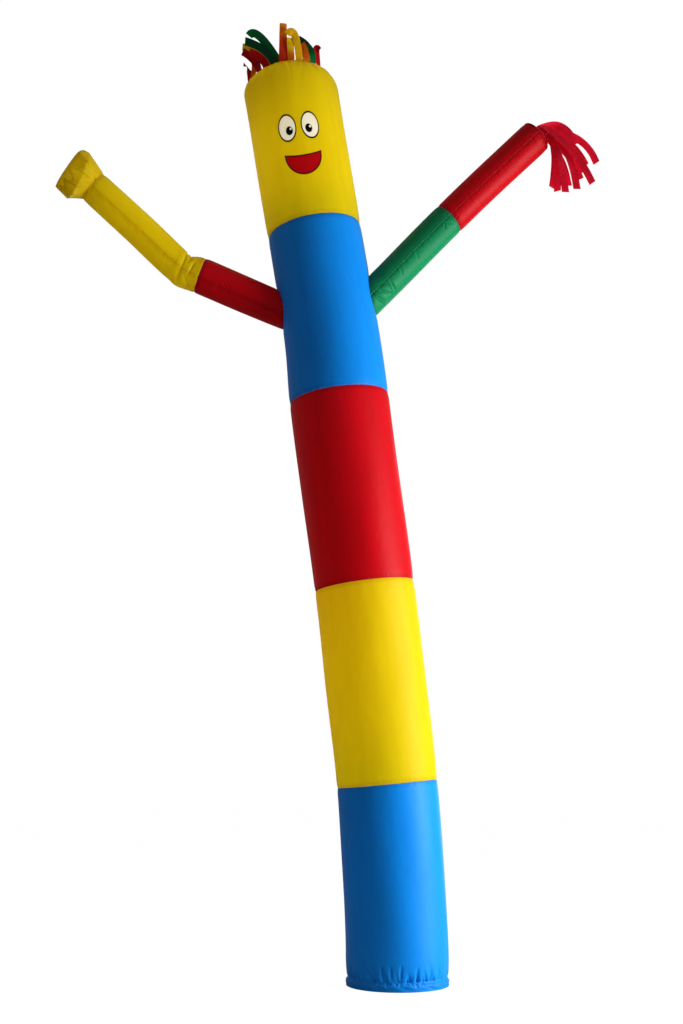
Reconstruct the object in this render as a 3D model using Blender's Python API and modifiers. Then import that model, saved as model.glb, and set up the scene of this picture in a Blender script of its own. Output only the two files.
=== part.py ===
"""Inflatable air dancer: a tube of sewn satin panels, with two sleeves, a ribbon hand and ribbon hair.

It stands blown up. The origin is the centre of the base ring on the floor, +X is the picture's right,
+Y is away from the viewer and +Z is up. Sizes are in metres.
"""

import math

import bmesh
import bpy
from mathutils import Matrix, Vector

COLLECTION = "air_dancer"

# Cloth and seams
WALL = 0.002
CUFF_THICK = 0.0015
RIBBON_THICK = 0.0012
SEAM_GAP = 0.0003
WELD = 1e-6
SHARP_EDGE = math.radians(50)

# The tube's centre line and outer radius, at the heights where the photo shows it change.
BODY_COLUMNS = ("z", "x", "y", "radius")
BODY = (
    (0.000, 0.0000, 0.000, 0.1525),
    (0.130, -0.0010, 0.000, 0.1520),
    (0.390, -0.0141, 0.000, 0.1530),
    (0.589, -0.0278, 0.000, 0.1522),
    (0.900, -0.0612, -0.009, 0.1538),
    (1.192, -0.0958, -0.019, 0.1525),
    (1.490, -0.1361, -0.029, 0.1545),
    (1.780, -0.1735, -0.039, 0.1550),
    (1.950, -0.1925, -0.045, 0.1502),
    (2.090, -0.2135, -0.050, 0.1480),
    (2.320, -0.2520, -0.060, 0.1474),
    (2.560, -0.2915, -0.070, 0.1492),
    (2.761, -0.3240, -0.080, 0.1500),
    (2.860, -0.3400, -0.084, 0.1500),
)
BASE_SEAM = 0.589
LOWER_SEAM = 1.192
MIDDLE_SEAM = 1.780
NECK_SEAM = 2.320
BODY_SIDES = 40
SEAM_PINCH = 0.0016  # how far a ring seam draws the tube in
PINCH_REACH = 0.022  # how far up the tube that dip reaches

# The gathered elastic hem, folded up inside the base panel
HEM_SIDES = 64
HEM_DEPTH = 0.009
HEM_LEAF = 0.015
# Its rings, from the leaf's edge inside, down, under and up the outside: the height, how far inside the
# tube's radius it lies, and how much of the puckers' depth it takes
HEM_COLUMNS = ("height", "inset", "puckered")
HEM = (
    (HEM_LEAF, HEM_DEPTH, 0.0),
    (0.0, HEM_DEPTH, 0.0),
    (0.0, 0.0, 0.0),
    (0.006, 0.0, 0.0),
    (0.016, -0.0004, 0.15),
    (0.025, 0.0045, 0.35),
    (0.036, 0.0016, 1.0),
    (0.058, 0.0004, 0.45),
)
BASE_PANEL_HEIGHTS = (0.110, 0.330)
PUCKERS = 32
PUCKER_DEPTH = 0.0032
# The puckers are uneven: their depth, as a share of the full one, swells and falls in these waves
PUCKER_MEAN = 0.62
PUCKER_WAVE_COLUMNS = ("count", "share", "phase")
PUCKER_WAVES = (
    (3, 0.24, 0.7),
    (7, 0.14, 0.0),
)

# The head's rounded shoulder, softer on the picture's right, and the low dome of its top
SHOULDER_ROUNDING = 0.0585
SHOULDER_UNEVEN = 0.0165
SHOULDER_ANGLE = math.radians(58)
SHOULDER_ROWS = (0.0, 0.27, 0.54, 0.80, 0.975, 1.0)
HEAD_HEIGHTS = (2.470, 2.620)
TOP_SEAM_Z = 2.823
DOME_HEIGHT = 0.034
DOME_ANGLES = tuple(math.radians(a) for a in (32, 31, 23, 12, 0))

# The arms' centre lines, as x, y and z, from inside the body's wall to the hand. The second row is where
# the wall is.
LEFT_ARM = (
    (-0.2650, -0.050, 2.0315),
    (-0.3575, -0.050, 2.0680),
    (-0.6082, -0.090, 2.1643),
    (-0.6600, -0.100, 2.1820),
    (-0.8000, -0.146, 2.2990),
    (-0.9313, -0.190, 2.4100),
)
RIGHT_ARM = (
    (-0.1420, -0.050, 2.0400),
    (-0.0715, -0.050, 2.1100),
    (0.1745, -0.070, 2.3609),
    (0.4528, -0.100, 2.6243),
)
ARM_SIDES = 24
INTO_BODY = 0.075

# Rings of each sleeve: distance from the body's wall, radius, and how far its upper side is drawn in
SLEEVE_COLUMNS = ("at", "radius", "drawn")
LEFT_UPPER = (
    (-INTO_BODY, 0.0545, 0.0),
    (0.060, 0.0548, 0.0),
    (0.160, 0.0556, 0.0),
    (0.262, 0.0560, 0.0),
    (0.272, 0.0552, 0.0),
)
LEFT_FOREARM = (
    (0.272, 0.0552, 0.0),
    (0.281, 0.0557, 0.002),
    (0.297, 0.0545, 0.007),
    (0.313, 0.0542, 0.004),
    (0.326, 0.0535, 0.0145),
    (0.342, 0.0538, 0.008),
    (0.375, 0.0535, 0.005),
    (0.440, 0.0528, 0.001),
    (0.550, 0.0518, 0.0),
    (0.680, 0.0502, 0.0),
    (0.690, 0.0495, 0.0),
)
RIGHT_UPPER = (
    (-INTO_BODY, 0.0526, 0.0),
    (0.070, 0.0526, 0.0),
    (0.210, 0.0528, 0.0),
    (0.342, 0.0528, 0.0),
    (0.352, 0.0521, 0.0),
)
RIGHT_FOREARM = (
    (0.352, 0.0521, 0.0),
    (0.362, 0.0527, 0.0),
    (0.480, 0.0526, 0.0),
    (0.610, 0.0528, 0.0),
    (0.722, 0.0532, 0.0),
    (0.733, 0.0522, 0.0),
)

# The open left cuff
CUFF_SIDES = 40
CUFF_ROWS = 6
CUFF_LENGTH = 0.093
CUFF_TOWARDS = Vector((-0.0686, -0.0430, 0.0408))
CUFF_TOWARDS_BY = 0.5  # the share of its length by which it has turned there
CUFF_RIM = 0.0800
CUFF_FLARED_BY = 0.60  # the share of its length by which it is as wide as its rim
CUFF_FLARE_UNEVEN = 0.14  # later on its upper side, and sooner below
CUFF_FLARE_BOW = 0.90  # under 1, it widens faster near the wrist
CUFF_NEAR_SHORT = 0.019
CUFF_NEAR_SPREAD = 0.8  # under 1, its short side reaches further round
CUFF_DRAW_IN = 0.011
CUFF_JAGS = 5
CUFF_JAG = 0.008
CUFF_JAG_FAR = 0.15  # how much of the jags the far side takes
CUFF_PLEATS = 7
CUFF_PLEAT_DEPTH = 0.0042
CUFF_PLEAT_FAR = 0.4
CUFF_PLEAT_GROWTH = 1.4

# The right hand's end and its fringe
HAND_DOME = 0.014
HAND_DOME_ANGLES = tuple(math.radians(a) for a in (90, 88, 66, 42, 20, 0))
FRINGE_RADIUS = 0.034
FRINGE_BAND = 0.008
FRINGE_WIDTH = 0.020
FRINGE_WIDE_BY = 0.75  # the share of its length by which a strand has its full width
FRINGE_BEND_SPREAD = 0.045
FRINGE_TIP_SPREAD = 0.050
FRINGE_LAYER = 0.22  # every second strand spreads this share more, and the others this share less
FRINGE_STEP = 0.008  # how far every second strand stands outside the others, straight from its root
# Each strand: its angle round the band (0 up, 90 towards the viewer), how far it runs straight out of the
# sleeve, and where it bends and ends, from the hand's centre. How far it spreads towards or away from the
# viewer follows its angle.
FRINGE_COLUMNS = ("angle", "lead", "bend_x", "bend_z", "tip_x", "tip_z")
FRINGE = (
    (0, 0.010, 0.108, 0.064, 0.122, -0.030),
    (30, 0.012, 0.106, -0.006, 0.152, -0.110),
    (60, 0.018, 0.116, -0.062, 0.164, -0.184),
    (90, 0.026, 0.104, -0.046, 0.119, -0.195),
    (120, 0.010, 0.070, -0.062, 0.081, -0.210),
    (150, 0.006, 0.068, -0.052, 0.062, -0.190),
    (180, 0.006, 0.072, -0.030, 0.050, -0.168),
    (210, 0.006, 0.078, -0.035, 0.068, -0.148),
    (240, 0.014, 0.095, -0.035, 0.111, -0.136),
    (270, 0.018, 0.112, -0.015, 0.146, -0.123),
    (300, 0.018, 0.124, 0.005, 0.161, -0.092),
    (330, 0.012, 0.162, 0.026, 0.194, -0.080),
)

# The ribbons of the head: angle round the top seam (0 faces the viewer, 90 the picture's right), the row
# they stand in as a share of the seam's radius, where they bend and end from their root, their width, and
# how far they twist on the way up, past lying flat to the viewer.
FRONT_ROW = 0.95
BACK_ROW = 0.82
HEAD_RIBBON_COLUMNS = (
    "colour", "angle", "row", "bend_x", "bend_y", "bend_z", "tip_x", "tip_y", "tip_z", "width", "twist",
)
HEAD_RIBBONS = (
    ("red", -78, FRONT_ROW, -0.002, 0.000, 0.050, -0.026, 0.000, 0.060, 0.020, 110),
    ("orange", -63, FRONT_ROW, 0.010, -0.004, 0.060, -0.012, -0.008, 0.052, 0.020, 40),
    ("red", -48, FRONT_ROW, -0.014, -0.004, 0.040, -0.054, -0.010, 0.060, 0.023, 0),
    ("red", -34, FRONT_ROW, -0.014, -0.004, 0.032, -0.054, -0.010, 0.044, 0.024, 0),
    ("orange", -34, BACK_ROW, -0.026, 0.008, 0.055, -0.086, 0.010, 0.072, 0.022, 0),
    ("dark_green", -21, FRONT_ROW, -0.022, 0.000, 0.054, -0.092, 0.002, 0.078, 0.024, 0),
    ("green", -16, BACK_ROW, -0.074, 0.012, 0.138, -0.095, 0.014, 0.100, 0.025, 0),
    ("red", 2, BACK_ROW, -0.016, 0.006, 0.060, -0.016, 0.010, 0.100, 0.022, 30),
    ("orange", -7, FRONT_ROW, 0.000, 0.000, 0.060, 0.000, 0.002, 0.130, 0.024, 0),
    ("yellow", 6, FRONT_ROW, -0.002, -0.004, 0.040, -0.004, -0.004, 0.074, 0.022, 25),
    ("yellow", 19, FRONT_ROW, -0.010, -0.012, 0.118, -0.038, -0.028, 0.070, 0.023, 0),
    ("orange", 32, FRONT_ROW, -0.002, 0.000, 0.035, -0.016, 0.000, 0.060, 0.023, 0),
    ("green", 45, FRONT_ROW, 0.002, 0.000, 0.040, -0.020, 0.004, 0.064, 0.023, 0),
    ("dark_green", 38, BACK_ROW, 0.026, 0.012, 0.058, -0.026, 0.022, 0.092, 0.024, 0),
    ("red", 60, FRONT_ROW, -0.012, -0.004, 0.080, 0.004, -0.006, 0.050, 0.022, 20),
    ("green", 112, FRONT_ROW, 0.020, 0.030, 0.055, 0.020, 0.075, 0.040, 0.024, 0),
    ("yellow", 131, FRONT_ROW, 0.014, 0.030, 0.060, 0.030, 0.080, 0.050, 0.024, 15),
    ("red", 150, FRONT_ROW, 0.010, 0.030, 0.055, 0.016, 0.085, 0.035, 0.024, -10),
    ("orange", 169, FRONT_ROW, 0.000, 0.035, 0.065, 0.006, 0.080, 0.055, 0.024, 10),
    ("dark_green", 188, FRONT_ROW, 0.000, 0.030, 0.055, -0.010, 0.085, 0.040, 0.024, -15),
    ("red", 207, FRONT_ROW, -0.010, 0.030, 0.060, -0.020, 0.080, 0.050, 0.024, 10),
    ("green", 226, FRONT_ROW, -0.010, 0.030, 0.055, -0.016, 0.075, 0.035, 0.024, -10),
    ("yellow", 245, FRONT_ROW, -0.004, 0.024, 0.050, -0.010, 0.060, 0.045, 0.024, 10),
)
TOWARDS_VIEWER = Vector((0.0, -1.0, -0.3)).normalized()
RIBBON_ROWS = 7
RIBBON_STAND = 0.006
FACING_RATE = 1.6

# Satin colours, in linear light, with the roughness of each
COLOURS = {
    "blue": (0.004, 0.125, 0.540),
    "yellow": (0.700, 0.510, 0.010),
    "red": (0.470, 0.004, 0.012),
    "green": (0.005, 0.190, 0.070),
    "dark_green": (0.003, 0.055, 0.022),
    "orange": (0.700, 0.200, 0.008),
}
SATIN_ROUGHNESS = 0.42


def named(columns, rows):
    """The rows of a table as dictionaries with its column names."""
    return [dict(zip(columns, row)) for row in rows]


def clear_scene():
    for old in list(bpy.data.objects):
        bpy.data.objects.remove(old, do_unlink=True)


def new_collection(name):
    made = bpy.data.collections.new(name)
    bpy.context.scene.collection.children.link(made)
    return made


def satin(name, colour):
    made = bpy.data.materials.new(f"{name}_{colour}_satin")
    made.use_nodes = True
    shader = made.node_tree.nodes["Principled BSDF"]
    shader.inputs["Base Color"].default_value = (*COLOURS[colour], 1.0)
    shader.inputs["Roughness"].default_value = SATIN_ROUGHNESS
    shader.inputs["Metallic"].default_value = 0.0
    return made


def smooth_curve(knots, values, at):
    """A value on the smooth curve through values at knots, with straight runs past both ends."""
    last = len(knots) - 1
    slopes = []
    for i in range(len(knots)):
        before, after = max(i - 1, 0), min(i + 1, last)
        slopes.append((values[after] - values[before]) / (knots[after] - knots[before]))
    slopes[0] = (values[1] - values[0]) / (knots[1] - knots[0])
    i = min(max(sum(1 for k in knots if k <= at) - 1, 0), last - 1)
    span = knots[i + 1] - knots[i]
    s = (at - knots[i]) / span
    if s > 1:
        return values[last] + slopes[last] * (at - knots[last])
    return (
        values[i] * (2 * s**3 - 3 * s**2 + 1)
        + slopes[i] * span * (s**3 - 2 * s**2 + s)
        + values[i + 1] * (3 * s**2 - 2 * s**3)
        + slopes[i + 1] * span * (s**3 - s**2)
    )


def body_value(column, z):
    rings = named(BODY_COLUMNS, BODY)
    return smooth_curve([ring["z"] for ring in rings], [ring[column] for ring in rings], z)


def body_centre(z):
    return Vector((body_value("x", z), body_value("y", z), z))


def body_radius(z):
    return body_value("radius", z)


def body_frame(z):
    """The centre and the three directions (right, away, up) of the tube's ring at a height."""
    step = 0.02
    if z < step:
        up = Vector((0, 0, 1))
    else:
        up = (body_centre(z + step) - body_centre(z - step)).normalized()
    away = up.cross(Vector((1, 0, 0))).normalized()
    return body_centre(z), away.cross(up), away, up


def ring_point(frame, turn, radius, rise=0.0):
    """A point of a ring: turn 0 is its first direction, a quarter its second."""
    centre, first, second, axis = frame
    angle = 2 * math.pi * turn
    return centre + radius * (math.cos(angle) * first + math.sin(angle) * second) + rise * axis


def cloth_mesh(around, along, place):
    """A grid of around by along faces with its corners put by place(turn, row), welded where they meet."""
    sheet = bmesh.new()
    bmesh.ops.create_grid(sheet, x_segments=around, y_segments=along, size=1.0)
    for corner in sheet.verts:
        turn = (corner.co.x + 1) / 2
        row = round((corner.co.y + 1) / 2 * along)
        corner.co = place(turn, row)
    bmesh.ops.remove_doubles(sheet, verts=sheet.verts, dist=WELD)
    return sheet


def finish_cloth(name, sheet, colour, thickness=WALL, offset=-1.0):
    """Makes the object of a piece of cloth, with its thickness grown inwards."""
    mesh = bpy.data.meshes.new(name)
    sheet.to_mesh(mesh)
    sheet.free()
    mesh.shade_smooth()
    mesh.set_sharp_from_angle(angle=SHARP_EDGE)
    mesh.materials.append(satin(name, colour))
    made = bpy.data.objects.new(name, mesh)
    parts.objects.link(made)
    wall = made.modifiers.new("wall", "SOLIDIFY")
    wall.thickness = thickness
    wall.offset = offset
    return made


def seam_dip(distance):
    """How far a ring seam draws the tube in, at a distance from it."""
    return SEAM_PINCH * math.exp(-((distance / PINCH_REACH) ** 2) * 3)


def panel_heights(low, high, middle):
    """Ring heights of a panel between two seams, with a close ring at each seam."""
    low, high = low + SEAM_GAP / 2, high - SEAM_GAP / 2
    inner = [low + (high - low) * i / (middle + 1) for i in range(1, middle + 1)]
    return [low, low + PINCH_REACH, *inner, high - PINCH_REACH, high]


def panel_place(heights, low, high):
    def place(turn, row):
        z = heights[row]
        dip = seam_dip(z - low) + seam_dip(high - z)
        return ring_point(body_frame(z), turn, body_radius(z) - dip)

    return place


def body_panel(name, colour, low, high, middle=2):
    heights = panel_heights(low, high, middle)
    sheet = cloth_mesh(BODY_SIDES, len(heights) - 1, panel_place(heights, low, high))
    return finish_cloth(name, sheet, colour)


def pucker(turn):
    """The hem's gathers as a wave round the tube, uneven in depth."""
    angle = 2 * math.pi * turn
    share = PUCKER_MEAN
    for wave in named(PUCKER_WAVE_COLUMNS, PUCKER_WAVES):
        share += wave["share"] * math.sin(wave["count"] * angle + wave["phase"])
    return PUCKER_DEPTH * share * math.cos(PUCKERS * angle)


def base_panel():
    """The lowest panel. Its profile runs up inside the folded hem, down, under and up the outside."""
    hem = named(HEM_COLUMNS, HEM)
    heights = [*BASE_PANEL_HEIGHTS, BASE_SEAM - PINCH_REACH, BASE_SEAM - SEAM_GAP / 2]

    def place(turn, row):
        if row < len(hem):
            ring = hem[row]
            radius = body_radius(0) - ring["inset"] + ring["puckered"] * pucker(turn)
            return ring_point(body_frame(0), turn, radius, ring["height"])
        z = heights[row - len(hem)]
        return ring_point(body_frame(z), turn, body_radius(z) - seam_dip(BASE_SEAM - z))

    sheet = cloth_mesh(HEM_SIDES, len(hem) + len(heights) - 1, place)
    return finish_cloth("base_panel", sheet, "blue")


def rounding(turn):
    return SHOULDER_ROUNDING + SHOULDER_UNEVEN * math.cos(2 * math.pi * turn)


def top_seam_radius(turn):
    return body_radius(TOP_SEAM_Z) - rounding(turn) * (1 - math.cos(SHOULDER_ANGLE))


def head_panel():
    heights = [NECK_SEAM + SEAM_GAP / 2, NECK_SEAM + PINCH_REACH, *HEAD_HEIGHTS]
    shoulder = [SHOULDER_ANGLE * share for share in SHOULDER_ROWS]
    top = body_frame(TOP_SEAM_Z)

    def place(turn, row):
        if row < len(heights):
            z = heights[row]
            return ring_point(body_frame(z), turn, body_radius(z) - seam_dip(z - NECK_SEAM))
        angle = shoulder[row - len(heights)]
        bend = rounding(turn)
        radius = body_radius(TOP_SEAM_Z) - bend * (1 - math.cos(angle))
        return ring_point(top, turn, radius, -bend * (math.sin(SHOULDER_ANGLE) - math.sin(angle)))

    sheet = cloth_mesh(BODY_SIDES, len(heights) + len(shoulder) - 1, place)
    return finish_cloth("head_panel", sheet, "yellow")


def dome_point(turn, angle):
    """A point of the head's top, at an angle from its middle. It starts one seam gap past the shoulder."""
    edge = DOME_ANGLES[0]
    radius = top_seam_radius(turn) * math.sin(angle) / math.sin(edge)
    rise = DOME_HEIGHT * (math.cos(angle) - math.cos(edge)) / (1 - math.cos(edge))
    inwards = SEAM_GAP * math.cos(edge) * math.sin(angle) / math.sin(edge)
    return ring_point(body_frame(TOP_SEAM_Z), turn, radius - inwards, rise + SEAM_GAP * math.sin(edge))


def head_top():
    rows = len(DOME_ANGLES) - 1
    sheet = cloth_mesh(BODY_SIDES, rows, lambda turn, row: dome_point(turn, DOME_ANGLES[row]))
    return finish_cloth("head_top", sheet, "yellow")


def arm_lengths(path):
    """The distance of each point of an arm's line from the body's wall, which is its second point."""
    points = [Vector(p) for p in path]
    total, lengths = 0.0, [0.0]
    for before, after in zip(points, points[1:]):
        total += (after - before).length
        lengths.append(total)
    return [d - lengths[1] for d in lengths]


def arm_point(path, at):
    knots = arm_lengths(path)
    return Vector(smooth_curve(knots, [p[i] for p in path], at) for i in range(3))


def arm_frame(path, at):
    """The centre and the directions (up, across, outwards) of an arm's ring. Across points away from the
    viewer on the left arm and towards the viewer on the right one."""
    step = 0.006
    out = (arm_point(path, at + step) - arm_point(path, at - step)).normalized()
    up = (Vector((0, 0, 1)) - out * out.z).normalized()
    return arm_point(path, at), up, out.cross(up), out


def sleeve(name, colour, path, rows, body_end=False):
    """A sleeve from its table of rings, moved half a seam gap in from each sewn end."""
    rings = named(SLEEVE_COLUMNS, rows)
    if not body_end:
        rings[0]["at"] += SEAM_GAP / 2
    rings[-1]["at"] -= SEAM_GAP / 2

    def place(turn, row):
        ring = rings[row]
        upper = max(0.0, math.cos(2 * math.pi * turn)) ** 2
        return ring_point(arm_frame(path, ring["at"]), turn, ring["radius"] - ring["drawn"] * upper)

    return finish_cloth(name, cloth_mesh(ARM_SIDES, len(rings) - 1, place), colour)


def closed_cutter(name, around, along, place):
    """A closed solid for a Boolean, from the same grid as a piece of cloth, with both ends filled."""
    solid = cloth_mesh(around, along, place)
    bmesh.ops.holes_fill(solid, edges=[e for e in solid.edges if e.is_boundary])
    bmesh.ops.recalc_face_normals(solid, faces=solid.faces)
    mesh = bpy.data.meshes.new(name)
    solid.to_mesh(mesh)
    solid.free()
    made = bpy.data.objects.new(name, mesh)
    made.hide_render = True
    made.display_type = "WIRE"
    cutters.objects.link(made)
    return made


def cut(piece, cutter):
    hole = piece.modifiers.new(f"cut_by_{cutter.name}", "BOOLEAN")
    hole.operation = "DIFFERENCE"
    hole.object = cutter


def body_cutter():
    """The filled upper body, one seam gap outside its cloth, which shapes the sleeves' roots."""
    heights = panel_heights(MIDDLE_SEAM, NECK_SEAM, 2)
    cloth = panel_place(heights, MIDDLE_SEAM, NECK_SEAM)

    def place(turn, row):
        centre = body_centre(heights[row])
        outwards = cloth(turn, row) - centre
        return centre + outwards * (1 + SEAM_GAP / outwards.length)

    return closed_cutter("body_cutter", BODY_SIDES, len(heights) - 1, place)


def armhole_cutter(name, path, radius):
    """A plug as wide as the inside of a sleeve, through the body's wall."""
    ends = (-INTO_BODY, INTO_BODY)
    frames = [arm_frame(path, at) for at in ends]
    return closed_cutter(
        name, ARM_SIDES, 1, lambda turn, row: ring_point(frames[row], turn, radius - WALL)
    )


def left_cuff():
    """The flared hand end of the left arm, shorter and crumpled on the side that faces the viewer."""
    wrist = named(SLEEVE_COLUMNS, LEFT_FOREARM)[-1]
    centre, up, _, out = arm_frame(LEFT_ARM, wrist["at"] + SEAM_GAP / 2)

    def place(turn, row):
        angle = 2 * math.pi * turn
        run = row / CUFF_ROWS
        near = max(0.0, -math.sin(angle)) ** CUFF_NEAR_SPREAD
        jag = CUFF_JAG * math.sin(CUFF_JAGS * angle) * (CUFF_JAG_FAR + near)
        length = (CUFF_LENGTH - CUFF_NEAR_SHORT * near + jag) * run
        pleat = CUFF_PLEAT_DEPTH * math.sin(CUFF_PLEATS * angle) * (CUFF_PLEAT_FAR + near)
        flared_by = CUFF_FLARED_BY + CUFF_FLARE_UNEVEN * math.cos(angle)
        flare = min(1.0, run / flared_by) ** CUFF_FLARE_BOW
        radius = wrist["radius"] + (CUFF_RIM - wrist["radius"]) * flare
        radius += pleat * run**CUFF_PLEAT_GROWTH - CUFF_DRAW_IN * run**2
        heading = out.lerp(CUFF_TOWARDS.normalized(), min(1.0, run / CUFF_TOWARDS_BY)).normalized()
        side = (up - heading * up.dot(heading)).normalized()
        frame = (centre + heading * length, side, heading.cross(side), heading)
        return ring_point(frame, turn, radius)

    return finish_cloth("left_cuff", cloth_mesh(CUFF_SIDES, CUFF_ROWS, place), "yellow", CUFF_THICK)


HAND = named(SLEEVE_COLUMNS, RIGHT_FOREARM)[-1]


def hand_rise(radius):
    """How far the right hand's end bulges out at a radius."""
    return HAND_DOME * math.sqrt(max(0.0, 1 - (radius / HAND["radius"]) ** 2))


def right_hand_end():
    frame = arm_frame(RIGHT_ARM, HAND["at"] + SEAM_GAP / 2)

    def place(turn, row):
        radius = HAND["radius"] * math.sin(HAND_DOME_ANGLES[row])
        return ring_point(frame, turn, radius, hand_rise(radius))

    return finish_cloth("right_hand_end", cloth_mesh(ARM_SIDES, len(HAND_DOME_ANGLES) - 1, place), "red")


def bend_through(start, bend, tip, share):
    """A point of the plain curve that leaves start towards bend and ends at tip."""
    return start * (1 - share) ** 2 + bend * 2 * share * (1 - share) + tip * share**2


def ribbon_rows(start, lift, bend, tip, across, width_at, twist=0.0):
    """The two edges of a ribbon at each row, from its root, where it lies along across, to its tip, where
    it lies flat to the viewer but for its twist."""
    line = [start, start + lift]
    line += [bend_through(line[1], bend, tip, i / (RIBBON_ROWS - 1)) for i in range(1, RIBBON_ROWS)]
    edges = []
    mixed = across
    for i, point in enumerate(line):
        heading = (line[min(i + 1, len(line) - 1)] - line[max(i - 1, 0)]).normalized()
        share = i / (len(line) - 1)
        across = (across - heading * across.dot(heading)).normalized()
        flat = heading.cross(TOWARDS_VIEWER).normalized()
        if flat.dot(mixed) < 0:
            flat = -flat
        mixed = across.slerp(flat, min(1.0, share * FACING_RATE))
        turned = Matrix.Rotation(twist * share, 3, heading) @ mixed
        edges.append((point - turned * width_at(share) / 2, point + turned * width_at(share) / 2))
    return edges


def hand_fringe():
    """The hand's fringe: one band round the hand's end, with a strand on every second face of it."""
    frame = arm_frame(RIGHT_ARM, HAND["at"] + SEAM_GAP / 2)
    centre, out = frame[0], frame[3]
    low = hand_rise(FRINGE_RADIUS - RIBBON_THICK / 2) + SEAM_GAP

    def band_place(turn, row):
        return ring_point(frame, turn, FRINGE_RADIUS, low + row * FRINGE_BAND)

    band = cloth_mesh(ARM_SIDES, 1, band_place)

    def top_corner(turn):
        wanted = band_place(turn, 1)
        return min(band.verts, key=lambda corner: (corner.co - wanted).length)

    strands = named(FRINGE_COLUMNS, FRINGE)
    for strand in strands:
        turn = strand["angle"] / 360
        strand["root"] = (top_corner(turn), top_corner(turn + 1 / ARM_SIDES))
    for number, strand in enumerate(strands):
        first, second = strand["root"]
        across = second.co - first.co
        root = (first.co + second.co) / 2
        outer = number % 2 == 0
        layer = 1 + FRINGE_LAYER if outer else 1 - FRINGE_LAYER
        side = layer * math.sin(math.radians(strand["angle"] + 180 / ARM_SIDES))
        bend = centre + Vector((strand["bend_x"], -FRINGE_BEND_SPREAD * side, strand["bend_z"]))
        tip = centre + Vector((strand["tip_x"], -FRINGE_TIP_SPREAD * side, strand["tip_z"]))
        narrow = across.length
        lift = out * strand["lead"]
        if outer:
            lift += across.cross(out).normalized() * FRINGE_STEP

        def width_at(share):
            return narrow + (FRINGE_WIDTH - narrow) * min(1.0, share / FRINGE_WIDE_BY)

        edges = ribbon_rows(root, lift, bend, tip, across, width_at)
        before = (first, second)
        for low_side, high_side in edges[1:]:
            after = (band.verts.new(low_side), band.verts.new(high_side))
            band.faces.new((before[0], before[1], after[1], after[0]))
            before = after
    bmesh.ops.recalc_face_normals(band, faces=band.faces)
    return finish_cloth("right_hand_fringe", band, "red", RIBBON_THICK, offset=0.0)


def head_ribbons():
    for i, strand in enumerate(named(HEAD_RIBBON_COLUMNS, HEAD_RIBBONS), 1):
        turn = (strand["angle"] - 90) / 360
        angle = math.asin(math.sin(DOME_ANGLES[0]) * strand["row"])
        here = dome_point(turn, angle)
        along = dome_point(turn + 0.01, angle) - dome_point(turn - 0.01, angle)
        inwards = dome_point(turn, angle - 0.01) - here
        normal = along.cross(inwards).normalized()
        root = here + normal * SEAM_GAP
        bend = root + Vector((strand["bend_x"], strand["bend_y"], strand["bend_z"]))
        tip = root + Vector((strand["tip_x"], strand["tip_y"], strand["tip_z"]))
        twist = math.radians(strand["twist"])
        edges = ribbon_rows(
            root, normal * RIBBON_STAND, bend, tip, along.normalized(), lambda share: strand["width"], twist
        )
        strip = cloth_mesh(1, len(edges) - 1, lambda side, row: edges[row][round(side)])
        name = f"head_ribbon_{i:02d}_{strand['colour']}"
        finish_cloth(name, strip, strand["colour"], RIBBON_THICK, offset=0.0)


clear_scene()
parts = new_collection(COLLECTION)
cutters = new_collection(f"{COLLECTION}_cutters")

base_panel()
body_panel("yellow_panel", "yellow", BASE_SEAM, LOWER_SEAM)
body_panel("red_panel", "red", LOWER_SEAM, MIDDLE_SEAM)
upper = body_panel("blue_panel", "blue", MIDDLE_SEAM, NECK_SEAM)
head_panel()
head_top()

left_root = sleeve("left_upper_sleeve", "red", LEFT_ARM, LEFT_UPPER, body_end=True)
right_root = sleeve("right_upper_sleeve", "green", RIGHT_ARM, RIGHT_UPPER, body_end=True)
sleeve("left_forearm_sleeve", "yellow", LEFT_ARM, LEFT_FOREARM)
sleeve("right_forearm_sleeve", "red", RIGHT_ARM, RIGHT_FOREARM)
left_cuff()
right_hand_end()
hand_fringe()
head_ribbons()

filled_body = body_cutter()
cut(left_root, filled_body)
cut(right_root, filled_body)
cut(upper, armhole_cutter("left_armhole_cutter", LEFT_ARM, LEFT_UPPER[0][1]))
cut(upper, armhole_cutter("right_armhole_cutter", RIGHT_ARM, RIGHT_UPPER[0][1]))
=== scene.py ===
"""The finished look of the inflatable air dancer: its satin cloth with seams, gathers and creases, its
ribbons, its printed face, and the white studio that it stands in.

Lengths are in metres, in the frame of the CAD model: +X is the picture's right, +Y is away from the
viewer and +Z is up. The tube's and arms' sizes repeat those of the CAD model, which the cloth follows.
"""

import math

import bmesh
import bpy
import numpy as np
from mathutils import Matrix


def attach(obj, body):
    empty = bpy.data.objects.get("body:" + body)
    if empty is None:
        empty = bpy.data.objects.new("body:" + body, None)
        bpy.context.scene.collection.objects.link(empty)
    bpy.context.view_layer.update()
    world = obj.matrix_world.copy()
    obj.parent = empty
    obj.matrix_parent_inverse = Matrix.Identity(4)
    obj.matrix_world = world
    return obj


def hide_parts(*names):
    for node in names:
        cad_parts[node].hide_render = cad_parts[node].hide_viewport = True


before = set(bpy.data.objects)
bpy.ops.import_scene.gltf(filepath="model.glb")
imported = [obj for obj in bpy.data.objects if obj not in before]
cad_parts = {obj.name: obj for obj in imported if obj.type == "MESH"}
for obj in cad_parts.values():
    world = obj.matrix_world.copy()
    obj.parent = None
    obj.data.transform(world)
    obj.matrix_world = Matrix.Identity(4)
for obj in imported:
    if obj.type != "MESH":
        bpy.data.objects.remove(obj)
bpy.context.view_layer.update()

BODY = "root"

# Cloth and seams
CLOTH = 0.0006
RIBBON_CLOTH = 0.0004
SEAM_GAP = 0.0003
SEAM_PINCH = 0.0016
PINCH_REACH = 0.022
ALLOWANCE = 0.011
ALLOWANCE_EDGE = 0.0016

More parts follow.
